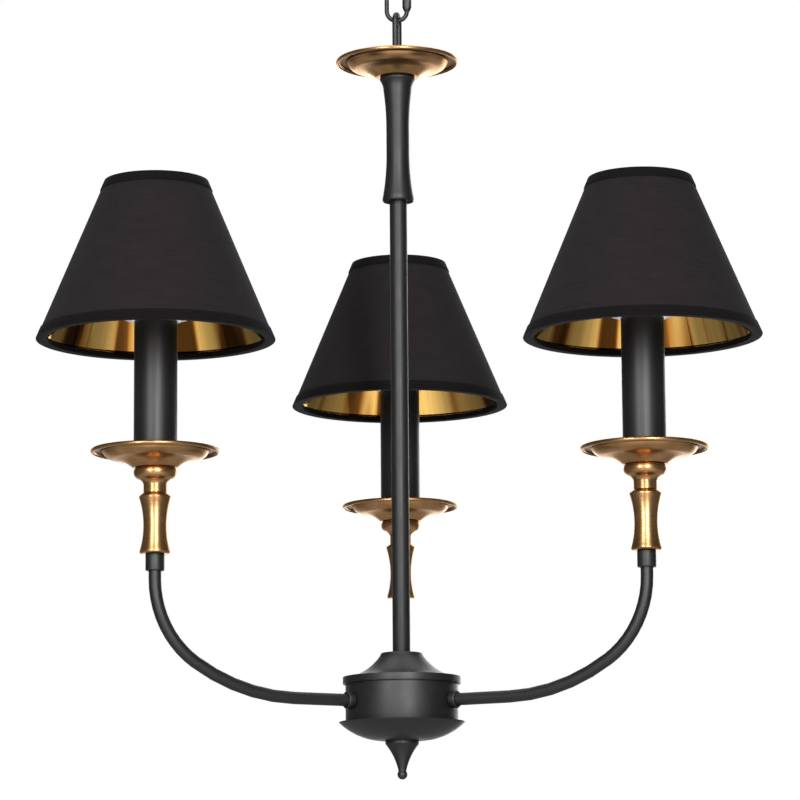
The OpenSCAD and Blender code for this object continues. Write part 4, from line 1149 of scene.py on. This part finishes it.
class CHANDELIER_OT_holders(bpy.types.Operator):
    """Mould the lampholders with their outside threads, and the rings that clamp the shades"""

    bl_idname = "chandelier.holders"
    bl_label = "Lampholders and rings"

    def execute(self, context):
        sizes = context.scene.chandelier_shades
        centre = axis_of("lampholder_1")
        self.lampholders(sizes, centre)
        self.rings(sizes, centre)
        return {"FINISHED"}

    def lampholders(self, sizes, centre):
        low, high = floor_of("lampholder_1"), top_of("lampholder_1")
        seat = top_of("candle_sleeve_1")
        fitter = floor_of("shade_ring_1") - sizes.fitter_wall
        body_r = radius_of("candle_sleeve_1") - sizes.sleeve_wall - EASY_FIT
        flange_r, bore_r, well_r = sizes.holder_flange_r, sizes.bore_r, sizes.well_r
        crest, root, pitch = sizes.thread_r, sizes.thread_r - sizes.thread_depth, sizes.thread_pitch
        crest_end, root_start = 0.4 * pitch, 0.7 * pitch
        thread = []
        for i in range(int((high - fitter) / pitch)):
            z = fitter + pitch * i
            thread += [(crest, z), (crest, z + crest_end), (root, z + root_start)]
        floor = high - sizes.bore_depth
        well = floor - sizes.well_depth
        outline = [
            (0.0, low), (body_r, low), (body_r, seat), (flange_r, seat), (flange_r, fitter), *thread,
            (crest, high), (bore_r, high), (bore_r, floor), (well_r, floor), (well_r, well), (0.0, well),
        ]
        holder = soften(turn("lampholder", outline, centre), 0.2 * MM)
        dress_lights(holder, "moulded_holder", "frame", "white_plastic", "lampholder")

    def rings(self, sizes, centre):
        low, high, rim_r = extent_of("shade_ring_1")
        hub_r, bore_r = sizes.ring_hub_r, sizes.thread_r + THREAD_FIT
        brim = low + sizes.ring_flange
        outline = [
            (bore_r, low), (rim_r, low), (rim_r, brim), (hub_r, brim), (hub_r, high), (bore_r, high),
            (bore_r, low),
        ]
        pieces = [soften(turn("ring", outline, centre), 0.3 * MM, 3)]
        ribs, rib_short = 18, 0.4 * MM
        for i in range(ribs):
            out = Matrix.Rotation(math.tau * i / ribs, 2) @ Vector((hub_r, 0.0))
            pick()
            bpy.ops.mesh.primitive_cylinder_add(
                vertices=12, radius=sizes.ring_grip, depth=high - brim - rib_short,
                location=(*(centre + out), (brim + high) / 2),
            )
            pieces.append(settled("rib"))
        whole = join(pieces, "ring")
        bpy.ops.object.shade_smooth_by_angle(angle=SHARP)
        dress_lights(whole, "moulded_ring", "ring", "white_plastic", "shade_ring")


class CHANDELIER_OT_inner_parts(bpy.types.Operator):
    """Finish the packed pieces that show little or not at all"""

    bl_idname = "chandelier.inner_parts"
    bl_label = "Inner parts"

    def execute(self, context):
        inner = {
            "zinc_steel": (
                "loop_washer", "top_pipe", "hub_pipe", "hub_nuts", "arm_nuts", "candle_pipes",
                "candle_nuts", "holder_pillars",
            ),
            "bare_brass": ("lamp_contacts",),
            "white_plastic": ("terminal_block",),
            "wire_cover": ("feed_wire", "arm_wires"),
        }
        for slot, names in inner.items():
            for name in names:
                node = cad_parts[name]
                node.data.materials.clear()
                node.data.materials.append(finish_of(slot))
        return {"FINISHED"}


class CHANDELIER_OT_studio(bpy.types.Operator):
    """Lay a pale floor, light it softly and set the camera"""

    bl_idname = "chandelier.studio"
    bl_label = "Studio"

    def execute(self, context):
        settings = context.scene.chandelier_studio
        self.floor(settings)
        self.world(settings)
        self.lights(settings)
        self.camera(settings)
        context.scene.view_settings.view_transform = "Standard"
        return {"FINISHED"}

    def floor(self, settings):
        pick()
        bpy.ops.mesh.primitive_plane_add(size=40.0, location=(0.0, 0.0, CAD_BOX[0].z - settings.floor_drop))
        floor = named("studio_floor")
        finish = finish_of("studio_floor")
        tree = finish.node_tree
        # The camera sees the floor nearly as white as the background, with a faint shadow
        seen = add(tree, "LightPath").outputs["Is Camera Ray"]
        glow = add(tree, "Math", {0: seen, 1: settings.floor_glow}, operation="MULTIPLY")
        fill(tree, tree.nodes["Principled BSDF"], {"Emission Strength": glow})
        floor.data.materials.append(finish)
        floor.visible_glossy = False

    def world(self, settings):
        """White to the camera. Mirrors see a white wall behind, a greyer room and a pale ground."""
        world = bpy.data.worlds.new("studio")
        bpy.context.scene.world = world
        world.use_nodes = True
        tree = world.node_tree
        tree.nodes.clear()
        rays = add(tree, "LightPath").outputs
        towards = add(tree, "TexCoord").outputs["Generated"]
        way = add(tree, "SeparateXYZ", {0: towards}).outputs
        # Each blend runs between two values of a direction's X, Y or Z
        low = add(tree, "MapRange", {0: way["Z"], 1: -0.65, 2: -0.3, 3: 1.0, 4: 0.0})
        grounds = {3: settings.ground, 4: settings.ground_below}
        fore = add(tree, "MapRange", {0: way["Y"], 1: -0.7, 2: -0.3, **grounds})
        room = add(tree, "MapRange", {0: low, 1: 0.0, 2: 1.0, 3: settings.front_wall, 4: fore})
        depth = add(tree, "MapRange", {0: way["Y"], 1: 0.75, 2: 0.97, 3: 0.0, 4: 1.0})
        height = add(tree, "MapRange", {0: way["Z"], 1: -0.65, 2: -0.2, 3: 0.0, 4: 1.0})
        far = add(tree, "Math", {0: depth, 1: height}, operation="MULTIPLY")
        behind = add(tree, "MapRange", {0: far, 1: 0.0, 2: 1.0, 3: room, 4: settings.back_wall})
        aside = add(tree, "Math", {0: way["X"]}, operation="ABSOLUTE")
        beside = add(tree, "MapRange", {0: aside, 1: 0.65, 2: 0.98, 3: 0.0, 4: settings.side_wall})
        walls = add(tree, "Math", {0: behind, 1: beside}, operation="MAXIMUM")
        white, mirrored, soft = (
            add(tree, "Background", {"Color": (1.0, 1.0, 1.0, 1.0), "Strength": strength})
            for strength in (1.0, walls, settings.room)
        )
        mirrors = {0: rays["Is Glossy Ray"], 1: rays["Is Transmission Ray"]}
        seen = add(tree, "Math", mirrors, operation="MAXIMUM")
        bounced = add(tree, "MixShader", {0: seen, 1: soft, 2: mirrored})
        final = add(tree, "MixShader", {0: rays["Is Camera Ray"], 1: bounced, 2: white})
        add(tree, "OutputWorld", {"Surface": final})

    def lights(self, settings):
        """Two tall strips in front, and soft panels behind and above."""
        middle, lift = UP * -0.35, UP * 0.5
        strip, panel, top = (0.45, 2.6), (2.5, 2.2), (2.0, 2.0)
        for name, azimuth, reach, size, share in (
            ("left_strip", -26.0, 3.0, strip, 0.65),
            ("right_strip", 12.0, 3.0, strip, 1.0),
            ("back_panel", 165.0, 2.6, panel, 0.45),
        ):
            out = Matrix.Rotation(math.radians(azimuth), 3, "Z") @ Vector((0.0, -reach, 0.0))
            self.lamp(name, middle + out + lift, -out - lift, size, share * settings.strip)
        self.lamp("top_panel", (0.0, 0.3, 1.6), -UP, top, settings.top_panel)

    def lamp(self, name, place, aim, size, power):
        bpy.ops.object.light_add(type="AREA", location=place)
        lamp = named(name)
        lamp.data.shape = "RECTANGLE"
        lamp.data.size, lamp.data.size_y = size
        lamp.data.energy = power
        lamp.rotation_euler = aim.to_track_quat("-Z", "Y").to_euler()

    def camera(self, settings):
        bpy.ops.object.camera_add(location=(settings.aside, -settings.distance, settings.height))
        camera = bpy.context.object
        camera.data.lens = settings.lens
        camera.data.sensor_width = SENSOR_WIDTH
        tilt = Matrix.Rotation(math.pi / 2 + settings.pitch, 4, "X")
        camera.rotation_euler = (tilt @ Matrix.Rotation(settings.roll, 4, "Z")).to_euler()
        bpy.context.scene.camera = camera


OPERATORS = (
    CHANDELIER_OT_hanging,
    CHANDELIER_OT_stem,
    CHANDELIER_OT_hub,
    CHANDELIER_OT_arms,
    CHANDELIER_OT_candles,
    CHANDELIER_OT_shades,
    CHANDELIER_OT_holders,
    CHANDELIER_OT_inner_parts,
    CHANDELIER_OT_studio,
)


class CHANDELIER_PT_panel(bpy.types.Panel):
    """Sizes, colours and steps of the chandelier"""

    bl_label = "Candle chandelier"
    bl_idname = "CHANDELIER_PT_panel"
    bl_space_type = "VIEW_3D"
    bl_region_type = "UI"
    bl_category = "Chandelier"

    def draw(self, context):
        for name, group in SIZE_GROUPS.items():
            box = self.layout.box()
            box.label(text=group.__doc__)
            for key in group.__annotations__:
                box.prop(getattr(context.scene, name), key)
        for operator in OPERATORS:
            self.layout.operator(operator.bl_idname)


def register():
    for item in (*SIZE_GROUPS.values(), *OPERATORS, CHANDELIER_PT_panel):
        bpy.utils.register_class(item)
    for name, group in SIZE_GROUPS.items():
        setattr(bpy.types.Scene, name, PointerProperty(type=group))


def unregister():
    for name in SIZE_GROUPS:
        delattr(bpy.types.Scene, name)
    for item in (CHANDELIER_PT_panel, *reversed(OPERATORS), *reversed(SIZE_GROUPS.values())):
        bpy.utils.unregister_class(item)


def main():
    register()
    for operator in OPERATORS:
        group, name = operator.bl_idname.split(".")
        getattr(getattr(bpy.ops, group), name)()


if __name__ == "__main__":
    main()
